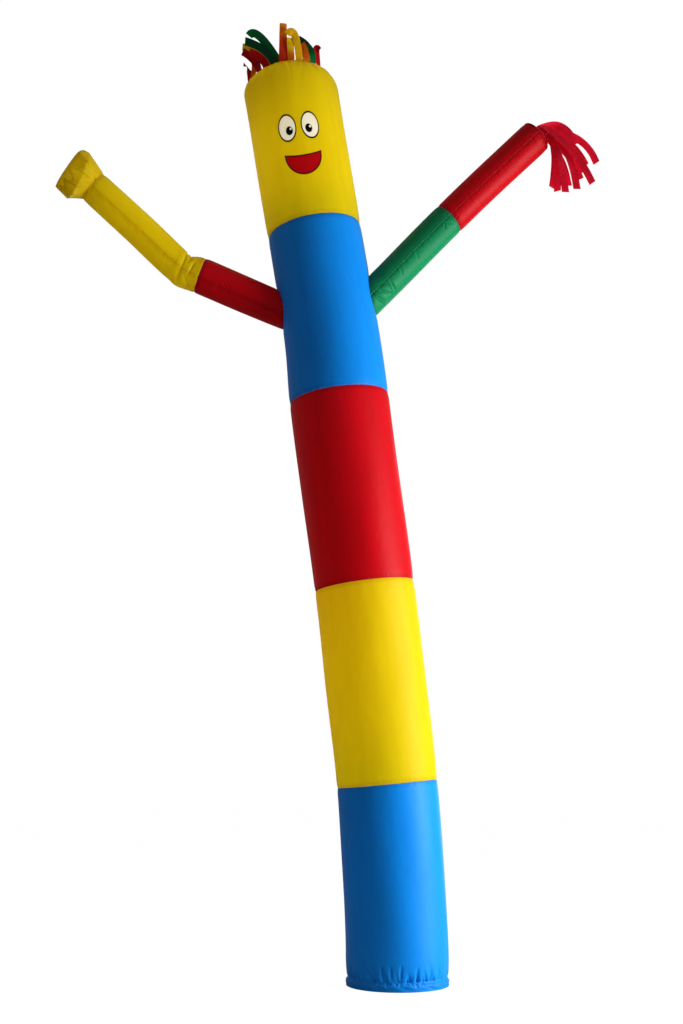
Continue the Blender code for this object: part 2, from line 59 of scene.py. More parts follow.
# The tube's centre line and outer radius
TUBE_COLUMNS = ("z", "x", "y", "radius")
TUBE = (
    (0.000, 0.0000, 0.000, 0.1525),
    (0.130, -0.0010, 0.000, 0.1520),
    (0.390, -0.0141, 0.000, 0.1530),
    (0.589, -0.0278, 0.000, 0.1522),
    (0.900, -0.0612, -0.009, 0.1538),
    (1.192, -0.0958, -0.019, 0.1525),
    (1.490, -0.1361, -0.029, 0.1545),
    (1.780, -0.1735, -0.039, 0.1550),
    (1.950, -0.1925, -0.045, 0.1502),
    (2.090, -0.2135, -0.050, 0.1480),
    (2.320, -0.2520, -0.060, 0.1474),
    (2.560, -0.2915, -0.070, 0.1492),
    (2.761, -0.3240, -0.080, 0.1500),
    (2.860, -0.3400, -0.084, 0.1500),
)
BASE_SEAM = 0.589
LOWER_SEAM = 1.192
MIDDLE_SEAM = 1.780
NECK_SEAM = 2.320

# The head's rounded shoulder and the low dome of its top
SHOULDER_ROUNDING = 0.0585
SHOULDER_UNEVEN = 0.0165
SHOULDER_ANGLE = math.radians(58)
SHOULDER_FROM = 2.735
SHOULDER_ROWS = 44
ROWS_TO_SHOULDER = 8
TOP_SEAM_Z = 2.823
TOP_RADIUS = 0.125
RIM_FADE = 0.0045
DOME_HEIGHT = 0.034
DOME_EDGE = math.radians(32)
DOME_ROWS = 26
DOME_ROW_EASE = 1.4

# The hem, folded up inside and gathered on elastic: the path of its cloth, as height and distance inside
# the tube's radius. Its first rows, inside and under the fold, have no gathers.
HEM_COLUMNS = ("height", "inset")
HEM = (
    (0.0150, 0.0090),
    (0.0090, 0.0090),
    (0.0030, 0.0090),
    (0.0006, 0.0088),
    (0.0000, 0.0080),
    (0.0000, 0.0045),
    (0.0000, 0.0010),
    (0.0005, 0.0002),
    (0.0025, 0.0000),
    (0.0060, 0.0000),
    (0.0100, -0.0004),
    (0.0140, -0.0006),
    (0.0180, 0.0004),
    (0.0210, 0.0026),
    (0.0235, 0.0042),
    (0.0255, 0.0045),
    (0.0280, 0.0038),
    (0.0310, 0.0026),
    (0.0340, 0.0018),
    (0.0380, 0.0014),
    (0.0430, 0.0010),
    (0.0490, 0.0007),
    (0.0560, 0.0004),
    (0.0640, 0.0002),
    (0.0740, 0.0000),
)
HEM_ROWS = 70
ROWS_WITHOUT_GATHERS = 22
ROWS_INSIDE = 30
HEM_DOUBLED_TO = 0.024
ELASTIC_Z = 0.0245
ROLL_DEPTH = 0.0011
ROLL_Z = 0.012
ROLL_REACH = 0.008
NO_SEAM_Z = -1.0  # stands for the ring seam that the base panel doesn't have at its foot

# Gathers along the seams: how far apart their folds are, how far the longest reaches, and the greatest depth
GATHER_COLUMNS = ("spacing", "reach", "depth")
GATHERS = {
    "panel_foot": (0.0125, 0.015, 0.0012),
    "panel_top": (0.0115, 0.014, 0.0012),
    "back_seam": (0.0240, 0.016, 0.0010),
    "hem_small": (0.0165, 0.026, 0.0090),
    "hem_large": (0.0340, 0.040, 0.0056),
    "under_elastic": (0.0125, 0.012, 0.0050),
    "neck": (0.0210, 0.019, 0.0009),
    "head_rim": (0.0130, 0.024, 0.0056),
    "head_rim_wide": (0.0350, 0.044, 0.0024),
    "head_rim_long": (0.0190, 0.066, 0.0036),
    "head_top": (0.0120, 0.020, 0.0020),
    "sleeve_root": (0.0130, 0.024, 0.0026),
    "sleeve_elbow": (0.0130, 0.024, 0.0014),
    "sleeve_end": (0.0110, 0.013, 0.0013),
    "sleeve_seam": (0.0120, 0.015, 0.0021),
    "wrist": (0.0130, 0.026, 0.0026),
    "hand_end": (0.0120, 0.012, 0.0012),
}
# How much the folds of one seam differ: their place and slant, and their shares of width, length and depth
FOLD_STRAY = 0.35
FOLD_WIDTHS = (0.16, 0.30)
FOLD_LENGTHS = (0.35, 1.0)
FOLD_DEPTHS = (0.15, 1.0)

# Troughs along seams and rims
TROUGH_COLUMNS = ("depth", "half_width")
TROUGHS = {
    "ring_seam": (0.0010, 0.0022),
    "back_seam": (0.0008, 0.0022),
    "back_dip": (0.0010, 0.0120),
    "head_rim": (0.0012, 0.0080),
    "top_rim": (0.0010, 0.0060),
    "armhole": (0.0018, 0.0100),
    "sleeve_end": (0.0009, 0.0100),
    "sleeve_seam": (0.0012, 0.0012),
    "wrist": (0.0009, 0.0060),
}

# Swelling of the blown-up cloth between seams
PANEL_SWELL = 0.0008
HEAD_SWELL = 0.0009
SLEEVE_SWELL = 0.0006
CUFF_SWELL = 0.0022
SWELL_WAVES = 7
SWELL_CLIMB = 16

# The arms' centre lines from inside the body's wall, which is at their second point, to the hand
LEFT_ARM = (
    (-0.2650, -0.050, 2.0315),
    (-0.3575, -0.050, 2.0680),
    (-0.6082, -0.090, 2.1643),
    (-0.6600, -0.100, 2.1820),
    (-0.8000, -0.146, 2.2990),
    (-0.9313, -0.190, 2.4100),
)
RIGHT_ARM = (
    (-0.1420, -0.050, 2.0400),
    (-0.0715, -0.050, 2.1100),
    (0.1745, -0.070, 2.3609),
    (0.4528, -0.100, 2.6243),
)
INTO_BODY = 0.075

# Rings of each sleeve: distance from the body's wall, radius, and how far its upper side is drawn in
RING_COLUMNS = ("at", "radius", "drawn")
LEFT_UPPER = (
    (-INTO_BODY, 0.0545, 0.0),
    (0.060, 0.0548, 0.0),
    (0.160, 0.0556, 0.0),
    (0.262, 0.0560, 0.0),
    (0.272, 0.0552, 0.0),
)
LEFT_FOREARM = (
    (0.272, 0.0552, 0.0),
    (0.281, 0.0557, 0.001),
    (0.297, 0.0545, 0.004),
    (0.313, 0.0542, 0.007),
    (0.326, 0.0535, 0.0115),
    (0.342, 0.0538, 0.008),
    (0.375, 0.0535, 0.004),
    (0.440, 0.0528, 0.001),
    (0.550, 0.0518, 0.0),
    (0.680, 0.0502, 0.0),
    (0.690, 0.0495, 0.0),
)
RIGHT_UPPER = (
    (-INTO_BODY, 0.0526, 0.0),
    (0.070, 0.0526, 0.0),
    (0.210, 0.0528, 0.0),
    (0.342, 0.0528, 0.0),
    (0.352, 0.0521, 0.0),
)
RIGHT_FOREARM = (
    (0.352, 0.0521, 0.0),
    (0.362, 0.0527, 0.0),
    (0.480, 0.0526, 0.0),
    (0.610, 0.0528, 0.0),
    (0.722, 0.0532, 0.0),
    (0.733, 0.0522, 0.0),
)

# Creases of each piece, listed one by one. Angles are round the piece, in degrees: on the body 0 faces the
# viewer and 90 the picture's right, and on an arm 0 is its top. Places along it are the height on the body
# and the distance from the body's wall on an arm. A depth under 0 is a ridge.
CREASE_COLUMNS = ("angle", "along", "to_angle", "to_along", "width", "depth")
BASE_CREASES = (
    (-49, 0.088, -32, 0.040, 0.0045, 0.0046),
    (-43, 0.080, -27, 0.036, 0.0035, -0.0022),
    (-20, 0.070, -19, 0.030, 0.0036, 0.0034),
    (-10, 0.068, -9, 0.030, 0.0038, 0.0036),
    (2, 0.072, 1, 0.030, 0.0036, 0.0034),
    (20, 0.066, 19, 0.030, 0.0038, 0.0032),
    (38, 0.064, 37, 0.030, 0.0036, 0.0030),
    (58, 0.064, 57, 0.030, 0.0038, 0.0030),
    (-66, 0.066, -64, 0.030, 0.0040, 0.0026),
)
HEAD_CREASES = (
    (36, 2.775, 33, 2.815, 0.0034, 0.0030),
    (33, 2.782, 29, 2.818, 0.0030, 0.0022),
    (14, 2.800, 14, 2.818, 0.0030, 0.0018),
    (22, 2.792, 22, 2.818, 0.0030, 0.0016),
    (-4, 2.798, -4, 2.818, 0.0030, 0.0016),
    (-20, 2.795, -21, 2.818, 0.0032, 0.0018),
    (-36, 2.790, -37, 2.818, 0.0034, 0.0020),
)
BLUE_CREASES = (
    (41, 2.128, 58, 2.122, 0.0040, 0.0022),
    (47, 2.150, 61, 2.140, 0.0036, 0.0018),
    (52, 2.105, 62, 2.112, 0.0034, 0.0018),
    (63, 2.128, 66, 2.085, 0.0040, 0.0034),
    (-58, 2.060, -70, 2.070, 0.0040, 0.0016),
    (-60, 2.030, -72, 2.040, 0.0036, 0.0014),
)
ELBOW_CREASES = (
    (0, 0.3420, -60, 0.3420, 0.0032, 0.0044),
    (-52, 0.3425, -112, 0.3305, 0.0028, 0.0062),
    (-104, 0.3325, -174, 0.3215, 0.0030, 0.0056),
    (-46, 0.3560, -150, 0.3420, 0.0060, -0.0016),
    (-34, 0.2930, -112, 0.3170, 0.0075, -0.0024),
    (-72, 0.2950, -128, 0.3075, 0.0026, 0.0040),
    (-20, 0.3000, -60, 0.3180, 0.0034, 0.0020),
    (-130, 0.3140, -168, 0.2970, 0.0032, 0.0024),
    (150, 0.3240, 210, 0.3240, 0.0110, -0.0040),
    (64, 0.3300, 16, 0.3260, 0.0042, 0.0030),
    (100, 0.3270, 150, 0.3200, 0.0040, 0.0026),
    (-40, 0.4530, -80, 0.4480, 0.0060, 0.0010),
    (-126, 0.3620, -104, 0.3520, 0.0028, 0.0016),
    (-126, 0.3780, -102, 0.3660, 0.0030, 0.0014),
    (-128, 0.4020, -104, 0.3860, 0.0030, 0.0012),
)
RED_SLEEVE_CREASES = (
    (-98, 0.2030, -116, 0.1800, 0.0028, 0.0018),
    (-102, 0.1960, -118, 0.1720, 0.0024, 0.0016),
    (-96, 0.1880, -114, 0.1660, 0.0024, 0.0014),
    (-104, 0.2100, -120, 0.1960, 0.0024, 0.0012),
    (-140, 0.2000, -128, 0.1900, 0.0028, 0.0016),
    (-138, 0.1800, -127, 0.1720, 0.0024, 0.0012),
)
GREEN_SLEEVE_CREASES = (
    (112, 0.0650, 160, 0.0600, 0.0030, 0.0042),
    (114, 0.0590, 158, 0.0530, 0.0028, -0.0022),
    (104, 0.0180, 150, 0.0430, 0.0034, 0.0050),
    (116, 0.0060, 168, 0.0260, 0.0034, -0.0036),
    (122, -0.0060, 166, 0.0060, 0.0030, 0.0040),
    (90, 0.0260, 118, 0.0560, 0.0032, 0.0026),
    (60, 0.0400, 84, 0.0700, 0.0040, 0.0018),
    (108, 0.1160, 134, 0.1060, 0.0028, 0.0016),
    (106, 0.1900, 130, 0.1780, 0.0028, 0.0014),
    (106, 0.3180, 126, 0.3040, 0.0026, 0.0018),
    (132, 0.3360, 108, 0.3220, 0.0026, 0.0018),
)

# The open left cuff: its axis past the wrist, its size, and where its rim lies all round, as a distance
# from the wrist. Minus 90 degrees faces the viewer, where the rim is short, torn-looking and folded. Its
# creases run between shares of its length, and are as wide as stated in degrees.
CUFF_AROUND = 160
CUFF_ROWS = 62
CUFF_DEGREES_LONG = 60.0  # the cuff's length on the creases' scale of degrees
CUFF_PATTERN_RADIUS = 0.065
CUFF_STITCHES = 0.90
CUFF_LENGTH = 0.093
CUFF_TOWARDS = (-0.0686, -0.0430, 0.0408)
CUFF_TOWARDS_BY = 0.5
CUFF_RIM = 0.0800
CUFF_FLARED_BY = 0.60
CUFF_FLARE_UNEVEN = 0.14
CUFF_FLARE_BOW = 1.15
CUFF_DRAW_IN = 0.011
CUFF_RIM_COLUMNS = ("angle", "length")
CUFF_RIM_LINE = (
    (-180, 0.078), (-176, 0.080), (-172, 0.091), (-166, 0.089), (-162, 0.075), (-157, 0.076), (-152, 0.086),
    (-141, 0.087), (-137, 0.073), (-130, 0.069), (-126, 0.072), (-122, 0.086), (-111, 0.092), (-106, 0.088),
    (-102, 0.071), (-95, 0.064), (-88, 0.062), (-84, 0.068), (-80, 0.070), (-77, 0.060), (-72, 0.062),
    (-67, 0.086), (-58, 0.095), (-48, 0.092), (-38, 0.084), (-25, 0.084), (-8, 0.085), (4, 0.089),
    (16, 0.092), (40, 0.093), (90, 0.093), (140, 0.091), (162, 0.092), (168, 0.084), (173, 0.083),
    (180, 0.078),
)
CUFF_CREASE_COLUMNS = ("angle", "run", "to_angle", "to_run", "width", "depth")
CUFF_CREASES = (
    (-92, 0.02, -113, 0.95, 4.0, 0.0062),
    (-92, 0.02, -103, 0.95, 3.0, -0.0030),
    (-90, 0.04, -86, 0.80, 3.5, 0.0054),
    (-93, 0.06, -129, 0.80, 4.5, 0.0052),
    (-94, 0.10, -120, 0.95, 3.5, -0.0028),
    (-96, 0.20, -146, 1.00, 5.0, -0.0030),
    (-88, 0.06, -74, 0.90, 4.0, 0.0030),
    (-130, 0.20, -152, 1.00, 5.0, 0.0036),
    (-45, 0.12, -52, 0.95, 6.0, 0.0032),
    (-28, 0.10, -34, 0.90, 5.0, 0.0026),
    (-62, 0.10, -66, 0.80, 4.5, -0.0024),
    (-12, 0.15, -14, 0.95, 5.0, 0.0024),
    (12, 0.20, 8, 0.90, 5.0, -0.0020),
    (170, 0.15, 176, 0.95, 6.0, 0.0036),
    (140, 0.15, 146, 0.95, 7.0, 0.0030),
    (108, 0.15, 112, 0.95, 7.0, -0.0026),
    (74, 0.20, 70, 0.95, 7.0, 0.0030),
    (44, 0.15, 46, 0.95, 6.0, 0.0028),
)

# The right hand's end and its fringe: a ruffled band that stands on the end, and its strands. Each strand:
# its angle round the band (0 up, 90 towards the viewer), how far it runs straight out, and where it bends
# and ends, from the hand's centre. Every other strand lies in an outer layer.
HAND_DOME = 0.014
HAND_ROWS = 24
BAND_PLACES = 73
BAND_ROWS = 5
BAND_RUFFLE = 0.0007
BAND_RUFFLES = 13
FRINGE_CURL = 0.02
FRINGE_CUT = 0.2
FRINGE_RADIUS = 0.027
FRINGE_BELOW = 0.014
FRINGE_BAND = 0.006
FRINGE_WIDTH = 0.0220
FRINGE_ROOT_WIDTH = 0.0175
FRINGE_WIDE_BY = 0.35
FRINGE_BEND_SPREAD = 0.045
FRINGE_TIP_SPREAD = 0.050
FRINGE_LAYER = 0.22
FRINGE_STEP = 0.003
FRINGE_FACE = 360 / 24
FRINGE_COLUMNS = ("angle", "lead", "bend_x", "bend_z", "tip_x", "tip_z")
FRINGE = (
    (0, 0.003, 0.096, 0.064, 0.122, -0.030),
    (30, 0.005, 0.106, -0.006, 0.152, -0.110),
    (60, 0.010, 0.116, -0.062, 0.164, -0.184),
    (90, 0.016, 0.104, -0.046, 0.119, -0.195),
    (120, 0.008, 0.070, -0.062, 0.081, -0.210),
    (150, 0.006, 0.068, -0.052, 0.062, -0.190),
    (180, 0.006, 0.072, -0.030, 0.050, -0.168),
    (210, 0.006, 0.078, -0.035, 0.068, -0.148),
    (240, 0.010, 0.095, -0.035, 0.111, -0.136),
    (270, 0.010, 0.112, -0.015, 0.146, -0.123),
    (300, 0.008, 0.124, 0.005, 0.161, -0.092),
    (330, 0.004, 0.156, 0.034, 0.194, -0.080),
)

# The ribbons of the head: angle round the top seam (0 faces the viewer, 90 the picture's right), the row
# they stand in as a share of the seam's radius, where they bend and end from their root, width and twist
FRONT_ROW = 0.95
BACK_ROW = 0.82
HAIR_COLUMNS = (
    "colour", "angle", "row", "bend_x", "bend_y", "bend_z", "tip_x", "tip_y", "tip_z", "width", "twist",
)
HAIR = (
    ("red", -78, FRONT_ROW, -0.002, 0.000, 0.050, -0.026, 0.000, 0.060, 0.020, 110),
    ("orange", -63, FRONT_ROW, 0.010, -0.004, 0.060, -0.012, -0.008, 0.052, 0.020, 40),
    ("red", -48, FRONT_ROW, -0.014, -0.004, 0.040, -0.054, -0.010, 0.060, 0.023, 0),
    ("red", -34, FRONT_ROW, -0.014, -0.004, 0.032, -0.054, -0.010, 0.044, 0.024, 0),
    ("orange", -34, BACK_ROW, -0.026, 0.008, 0.055, -0.086, 0.010, 0.072, 0.022, 0),
    ("dark_green", -21, FRONT_ROW, -0.022, 0.000, 0.054, -0.092, 0.002, 0.078, 0.024, 0),
    ("green", -16, BACK_ROW, -0.074, 0.012, 0.138, -0.095, 0.014, 0.100, 0.025, 0),
    ("red", 2, BACK_ROW, -0.016, 0.006, 0.060, -0.016, 0.010, 0.100, 0.022, 30),
    ("orange", -7, FRONT_ROW, 0.000, 0.000, 0.060, 0.000, 0.002, 0.130, 0.024, 24),
    ("yellow", 6, FRONT_ROW, -0.002, -0.004, 0.040, -0.004, -0.004, 0.074, 0.022, 25),
    ("yellow", 19, FRONT_ROW, -0.010, -0.012, 0.118, -0.038, -0.028, 0.070, 0.023, 0),
    ("orange", 32, FRONT_ROW, -0.002, 0.000, 0.035, -0.016, 0.000, 0.060, 0.023, 0),
    ("green", 45, FRONT_ROW, 0.002, 0.000, 0.040, -0.020, 0.004, 0.064, 0.023, 0),
    ("dark_green", 38, BACK_ROW, 0.026, 0.012, 0.058, -0.026, 0.022, 0.092, 0.024, 0),
    ("red", 60, FRONT_ROW, -0.012, -0.004, 0.080, 0.004, -0.006, 0.050, 0.022, 20),
    ("green", 112, FRONT_ROW, 0.020, 0.030, 0.055, 0.020, 0.075, 0.040, 0.024, 0),
    ("yellow", 131, FRONT_ROW, 0.014, 0.030, 0.060, 0.030, 0.080, 0.050, 0.024, 15),
    ("red", 150, FRONT_ROW, 0.010, 0.030, 0.055, 0.016, 0.085, 0.035, 0.024, -10),
    ("orange", 169, FRONT_ROW, 0.000, 0.035, 0.065, 0.006, 0.080, 0.055, 0.024, 10),
    ("dark_green", 188, FRONT_ROW, 0.000, 0.030, 0.055, -0.010, 0.085, 0.040, 0.024, -15),
    ("red", 207, FRONT_ROW, -0.010, 0.030, 0.060, -0.020, 0.080, 0.050, 0.024, 10),
    ("green", 226, FRONT_ROW, -0.010, 0.030, 0.055, -0.016, 0.075, 0.035, 0.024, -10),
    ("yellow", 245, FRONT_ROW, -0.004, 0.024, 0.050, -0.010, 0.060, 0.045, 0.024, 10),
)
TOWARDS_VIEWER = np.array((0.0, -1.0, -0.3)) / math.hypot(1.0, 0.3)
RIBBON_ROWS = 40
RIBBON_SIDES = (-0.5, -0.485, -0.25, 0.0, 0.25, 0.485, 0.5)
RIBBON_STAND = 0.006
FACING_RATE = 1.6
RIBBON_CURL = 0.035  # how far a ribbon's middle stands out of flat, as a share of its width
RIBBON_RIPPLE = 0.0010
RIBBON_CUT = 0.25  # how far the cut end slants, in steps of the CAD model's line
RIBBON_IN_SEAM = 0.0014

# The printed face: two oval eyes and a half-moon smile, placed in metres of cloth round and up the head
EYE_APART = 0.037
EYE_HEIGHT = 2.600
EYE_SIZE = (0.0260, 0.0390)
PUPIL_IN = 0.0060
PUPIL_DOWN = 0.0100
PUPIL_SIZE = (0.0110, 0.0140)
GLINT_UP = 0.0050
GLINT_SIZE = (0.0035, 0.0040)
SMILE_HEIGHT = 2.513
SMILE_SIZE = (0.0560, 0.0640)
SMILE_SAG = 0.0090
OUTLINE = 0.0036
PRINT_EDGE = 0.0005

# The camera, which looks a little up from low down, as a long lens would from about four metres
IMAGE_HEIGHT = 1024
SENSOR = 36.0
FOCAL_PIXELS = 1250.0
CAMERA_AT = (-0.16582, -3.82, 0.585)
CAMERA_PITCH = math.radians(98)
CAMERA_SHIFT = 0.09504


def entry(columns, row):
    """A row of a table as a dictionary with its column names."""
    return dict(zip(columns, row))


def named(columns, rows):
    return [entry(columns, row) for row in rows]


def column(columns, rows, name):
    return [row[columns.index(name)] for row in rows]


def smooth(knots, values, at):
    """Values on the smooth curve through values at knots, with a straight run past the last one."""
    knots, values, at = np.array(knots, float), np.array(values, float), np.asarray(at, float)
    slopes = np.empty(len(knots))
    slopes[1:-1] = (values[2:] - values[:-2]) / (knots[2:] - knots[:-2])
    slopes[0] = (values[1] - values[0]) / (knots[1] - knots[0])
    slopes[-1] = (values[-1] - values[-2]) / (knots[-1] - knots[-2])
    i = np.clip(np.searchsorted(knots, at, side="right") - 1, 0, len(knots) - 2)
    span = knots[i + 1] - knots[i]
    s = np.minimum((at - knots[i]) / span, 1)
    inside = values[i] * (2 * s**3 - 3 * s**2 + 1) + slopes[i] * span * (s**3 - 2 * s**2 + s)
    inside += values[i + 1] * (3 * s**2 - 2 * s**3) + slopes[i + 1] * span * (s**3 - s**2)
    return inside + slopes[-1] * np.maximum(at - knots[-1], 0)


def curve(columns, rows, name, along, at):
    """One column of a table as a smooth curve over another."""
    return smooth(column(columns, rows, along), column(columns, rows, name), at)


def unit(vectors):
    return vectors / np.linalg.norm(vectors, axis=-1, keepdims=True)


def tube_centre(z):
    z = np.asarray(z, float)
    return np.stack([*[curve(TUBE_COLUMNS, TUBE, side, "z", z) for side in ("x", "y")], z], axis=-1)


def tube_radius(z):
    return curve(TUBE_COLUMNS, TUBE, "radius", "z", z)


def tube_frame(z):
    """The centres and the directions (right, towards the viewer, up) of the tube's rings at these heights."""
    step = 0.02
    z = np.asarray(z, float)
    up = unit(tube_centre(z + step) - tube_centre(z - step))
    up = np.where((z < step)[..., None], np.array((0.0, 0.0, 1.0)), up)
    away = unit(np.cross(up, (1.0, 0.0, 0.0)))
    return tube_centre(z), np.cross(away, up), -away, up


def ring(frame_of_ring, angle, radius, rise=0.0):
    """Points of a ring: angle 0 is along its second direction, and 90 degrees its first."""
    centre, right, near, up = frame_of_ring
    outwards = np.sin(angle)[..., None] * right + np.cos(angle)[..., None] * near
    return centre + np.asarray(radius)[..., None] * outwards + np.asarray(rise)[..., None] * up


def arm_knots(path):
    steps = np.linalg.norm(np.diff(np.array(path), axis=0), axis=1)
    lengths = np.concatenate([[0.0], np.cumsum(steps)])
    return lengths - lengths[1]


def on_line(knots, line, at):
    """Points on the smooth curve through the points of a line."""
    return np.stack([smooth(knots, [p[i] for p in line], at) for i in range(3)], axis=-1)


def arm_point(path, at):
    return on_line(arm_knots(path), path, at)


def arm_frame(path, at):
    """The centres and the directions (across, up, outwards) of an arm's rings."""
    step = 0.006
    at = np.asarray(at, float)
    out = unit(arm_point(path, at + step) - arm_point(path, at - step))
    up = unit(np.array((0.0, 0.0, 1.0)) - out * out[..., 2:])
    return arm_point(path, at), np.cross(out, up), up, out


def gathers(kind, across, away, around, seed):
    """Short uneven folds that run away from a seam, at these places along it and distances from it. around
    is the seam's length, after which they repeat."""
    shape = entry(GATHER_COLUMNS, GATHERS[kind])
    rng = np.random.default_rng(seed)
    count = max(1, round(around / shape["spacing"]))
    height = np.zeros(np.broadcast(across, away).shape)
    for i in range(count):
        middle = (i + rng.uniform(-FOLD_STRAY, FOLD_STRAY)) * around / count
        width = shape["spacing"] * rng.uniform(*FOLD_WIDTHS)
        length = shape["reach"] * rng.uniform(*FOLD_LENGTHS)
        deep = shape["depth"] * rng.uniform(*FOLD_DEPTHS)
        off = across - middle - rng.uniform(-FOLD_STRAY, FOLD_STRAY) * away
        off = (off + around / 2) % around - around / 2
        height -= deep * np.exp(-((off / width) ** 2) - (away / length) ** 2)
    return height


def creases(across, along, lines):
    """Soft troughs and ridges along straight lines on the cloth, which fade at both ends. Each line is (from
    across, from along, to across, to along, half its width, its depth)."""
    height = np.zeros(np.broadcast(across, along).shape)
    for a, b, c, d, width, depth in lines:
        run = math.hypot(c - a, d - b)
        share = ((across - a) * (c - a) + (along - b) * (d - b)) / run**2
        beside = np.abs((across - a) * (d - b) - (along - b) * (c - a)) / run
        past = np.maximum(np.maximum(-share, share - 1), 0) * run
        fade = 0.25 + 0.75 * np.sin(math.pi * np.clip(share, 0, 1))
        height -= depth * fade * np.exp(-((beside / width) ** 2) - (past / width) ** 2)
    return height


def placed(rows, radius):
    """Listed creases with their angles turned to metres round a piece of this radius."""
    return [
        (math.radians(c["angle"]) * radius, c["along"], math.radians(c["to_angle"]) * radius, c["to_along"],
         c["width"], c["depth"])
        for c in named(CREASE_COLUMNS, rows)
    ]


def billows(angle, along, depth, seed, most_lobes=6):
    """Slow, uneven swelling of blown-up cloth."""
    rng = np.random.default_rng(seed)
    height = np.zeros(np.broadcast(angle, along).shape)
    for _ in range(SWELL_WAVES):
        lobes = rng.integers(1, most_lobes + 1)
        climb = rng.uniform(-SWELL_CLIMB, SWELL_CLIMB)
        height += np.sin(lobes * angle + climb * along + rng.uniform(0, 2 * math.pi)) / 3
    return height * depth


def trough(kind, distance):
    """The depth of a kind of trough, at a distance from its line."""
    shape = entry(TROUGH_COLUMNS, TROUGHS[kind])
    return shape["depth"] * np.exp(-((distance / shape["half_width"]) ** 2))


def seam_dip(distance):
    """How far a ring seam draws the cloth in, at a distance from it."""
    return SEAM_PINCH * np.exp(-3 * (distance / PINCH_REACH) ** 2)


def rows_between(low, high, fine, coarse, reach=0.05):
    """Places from low to high, close together near both ends and further apart between."""
    place, places = low, [low]
    while place < high:
        near = min(1.0, min(place - low, high - place) / reach)
        place += fine + (coarse - fine) * max(0.0, near)
        places.append(place)
    places = np.array(places)
    return low + (places - low) * (high - low) / (places[-1] - low)


def closed_round(values):
    """Rows of places round a piece, with the first of each again at its end."""
    return np.concatenate([values, values[:, :1]], axis=1)


def grid(points, across, along, wrapped=True, doubled_painted_shade=None, keep=None):
    """A grid of points, rows by columns, and its place on the cloth in metres. keep says which cells stay."""
    rows, columns = points.shape[:2]
    shape = (rows, columns + 1 if wrapped else columns)
    cloth_place = np.stack([np.broadcast_to(across, shape), np.broadcast_to(along, shape)], axis=-1)
    doubled_painted_shade = np.zeros((rows, columns)) if doubled_painted_shade is None else np.broadcast_to(doubled_painted_shade, (rows, columns))
    return dict(points=points, place=cloth_place, wrapped=wrapped, doubled_painted_shade=doubled_painted_shade, keep=keep)


def cloth(name, grids, material, wall=CLOTH, offset=-1.0, merge=False):
    """Makes a piece of cloth from its grids, with a UV map in metres and the share of doubled cloth, which
    the satin paints deeper as shade.
    """
    points, faces, places, doubled_painted_shade = [], [], [], []
    first = 0
    for g in grids:
        rows, columns = g["points"].shape[:2]
        r, c = np.meshgrid(np.arange(rows - 1), np.arange(g["place"].shape[1] - 1), indexing="ij")
        if g["keep"] is not None:
            r, c = r[g["keep"]], c[g["keep"]]
        corners = [(r, c), (r, c + 1), (r + 1, c + 1), (r + 1, c)]
        numbers = [first + row * columns + side % columns for row, side in corners]
        faces.append(np.stack(numbers, -1).reshape(-1, 4))
        places.append(np.stack([g["place"][row, side] for row, side in corners], axis=-2).reshape(-1, 2))
        points.append(g["points"].reshape(-1, 3))
        doubled_painted_shade.append(g["doubled_painted_shade"].ravel())
        first += rows * columns
    mesh = bpy.data.meshes.new(name)
    mesh.from_pydata(np.concatenate(points), [], np.concatenate(faces))
    uv = mesh.uv_layers.new(name="cloth")
    uv.data.foreach_set("uv", np.concatenate(places).astype(np.float32).ravel())
    shade = mesh.attributes.new("doubled_painted_shade", "FLOAT", "POINT")
    shade.data.foreach_set("value", np.concatenate(doubled_painted_shade).astype(np.float32))
    tidy = bmesh.new()
    tidy.from_mesh(mesh)
    if merge:
        bmesh.ops.remove_doubles(tidy, verts=tidy.verts, dist=1e-6)
    bmesh.ops.delete(tidy, geom=[v for v in tidy.verts if not v.link_faces], context="VERTS")
    tidy.to_mesh(mesh)
    tidy.free()
    mesh.shade_smooth()
    mesh.materials.append(material)
    piece = bpy.data.objects.new(name, mesh)
    bpy.context.scene.collection.objects.link(piece)
    thick = piece.modifiers.new("wall", "SOLIDIFY")
    thick.thickness = wall
    thick.offset = offset
    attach(piece, BODY)
    return piece


def edge_fade(distance, reach=0.03):
    """0 at a seam and 1 away from it, so that two panels meet there."""
    return 1 - np.exp(-((distance / reach) ** 2))


def doubled_shade_near(distance, width=ALLOWANCE):
    """1 where the seam allowance lies behind the cloth, which the satin paints deeper as shade."""
    return 0.5 * (1 - np.tanh((distance - width) / ALLOWANCE_EDGE))


# The stitches' paths, gathered piece by piece
seam_paths = []


def normals_of(points):
    down, beside = np.gradient(points, axis=0), np.gradient(points, axis=1)
    return unit(np.cross(beside, down))


def sew_row(points, row, colour, closed=True):
    seam_paths.append(dict(points=points[row], normals=normals_of(points)[row], colour=colour, closed=closed))


def sew_column(points, column_number, colour):
    spot = dict(points=points[:, column_number], normals=normals_of(points)[:, column_number])
    seam_paths.append(dict(spot, colour=colour, closed=False))


def nearest(values, wanted):
    return int(np.argmin(np.abs(np.asarray(values) - wanted)))


def closer_together(count, middle, lobes, share):
    """Angles right round a piece, which lie closer together at middle, and at lobes places in all."""
    even = np.linspace(-math.pi, math.pi, count + 1)
    return middle + even - share / lobes * np.sin(lobes * even)


def girth_of(radius):
    return 2 * math.pi * radius


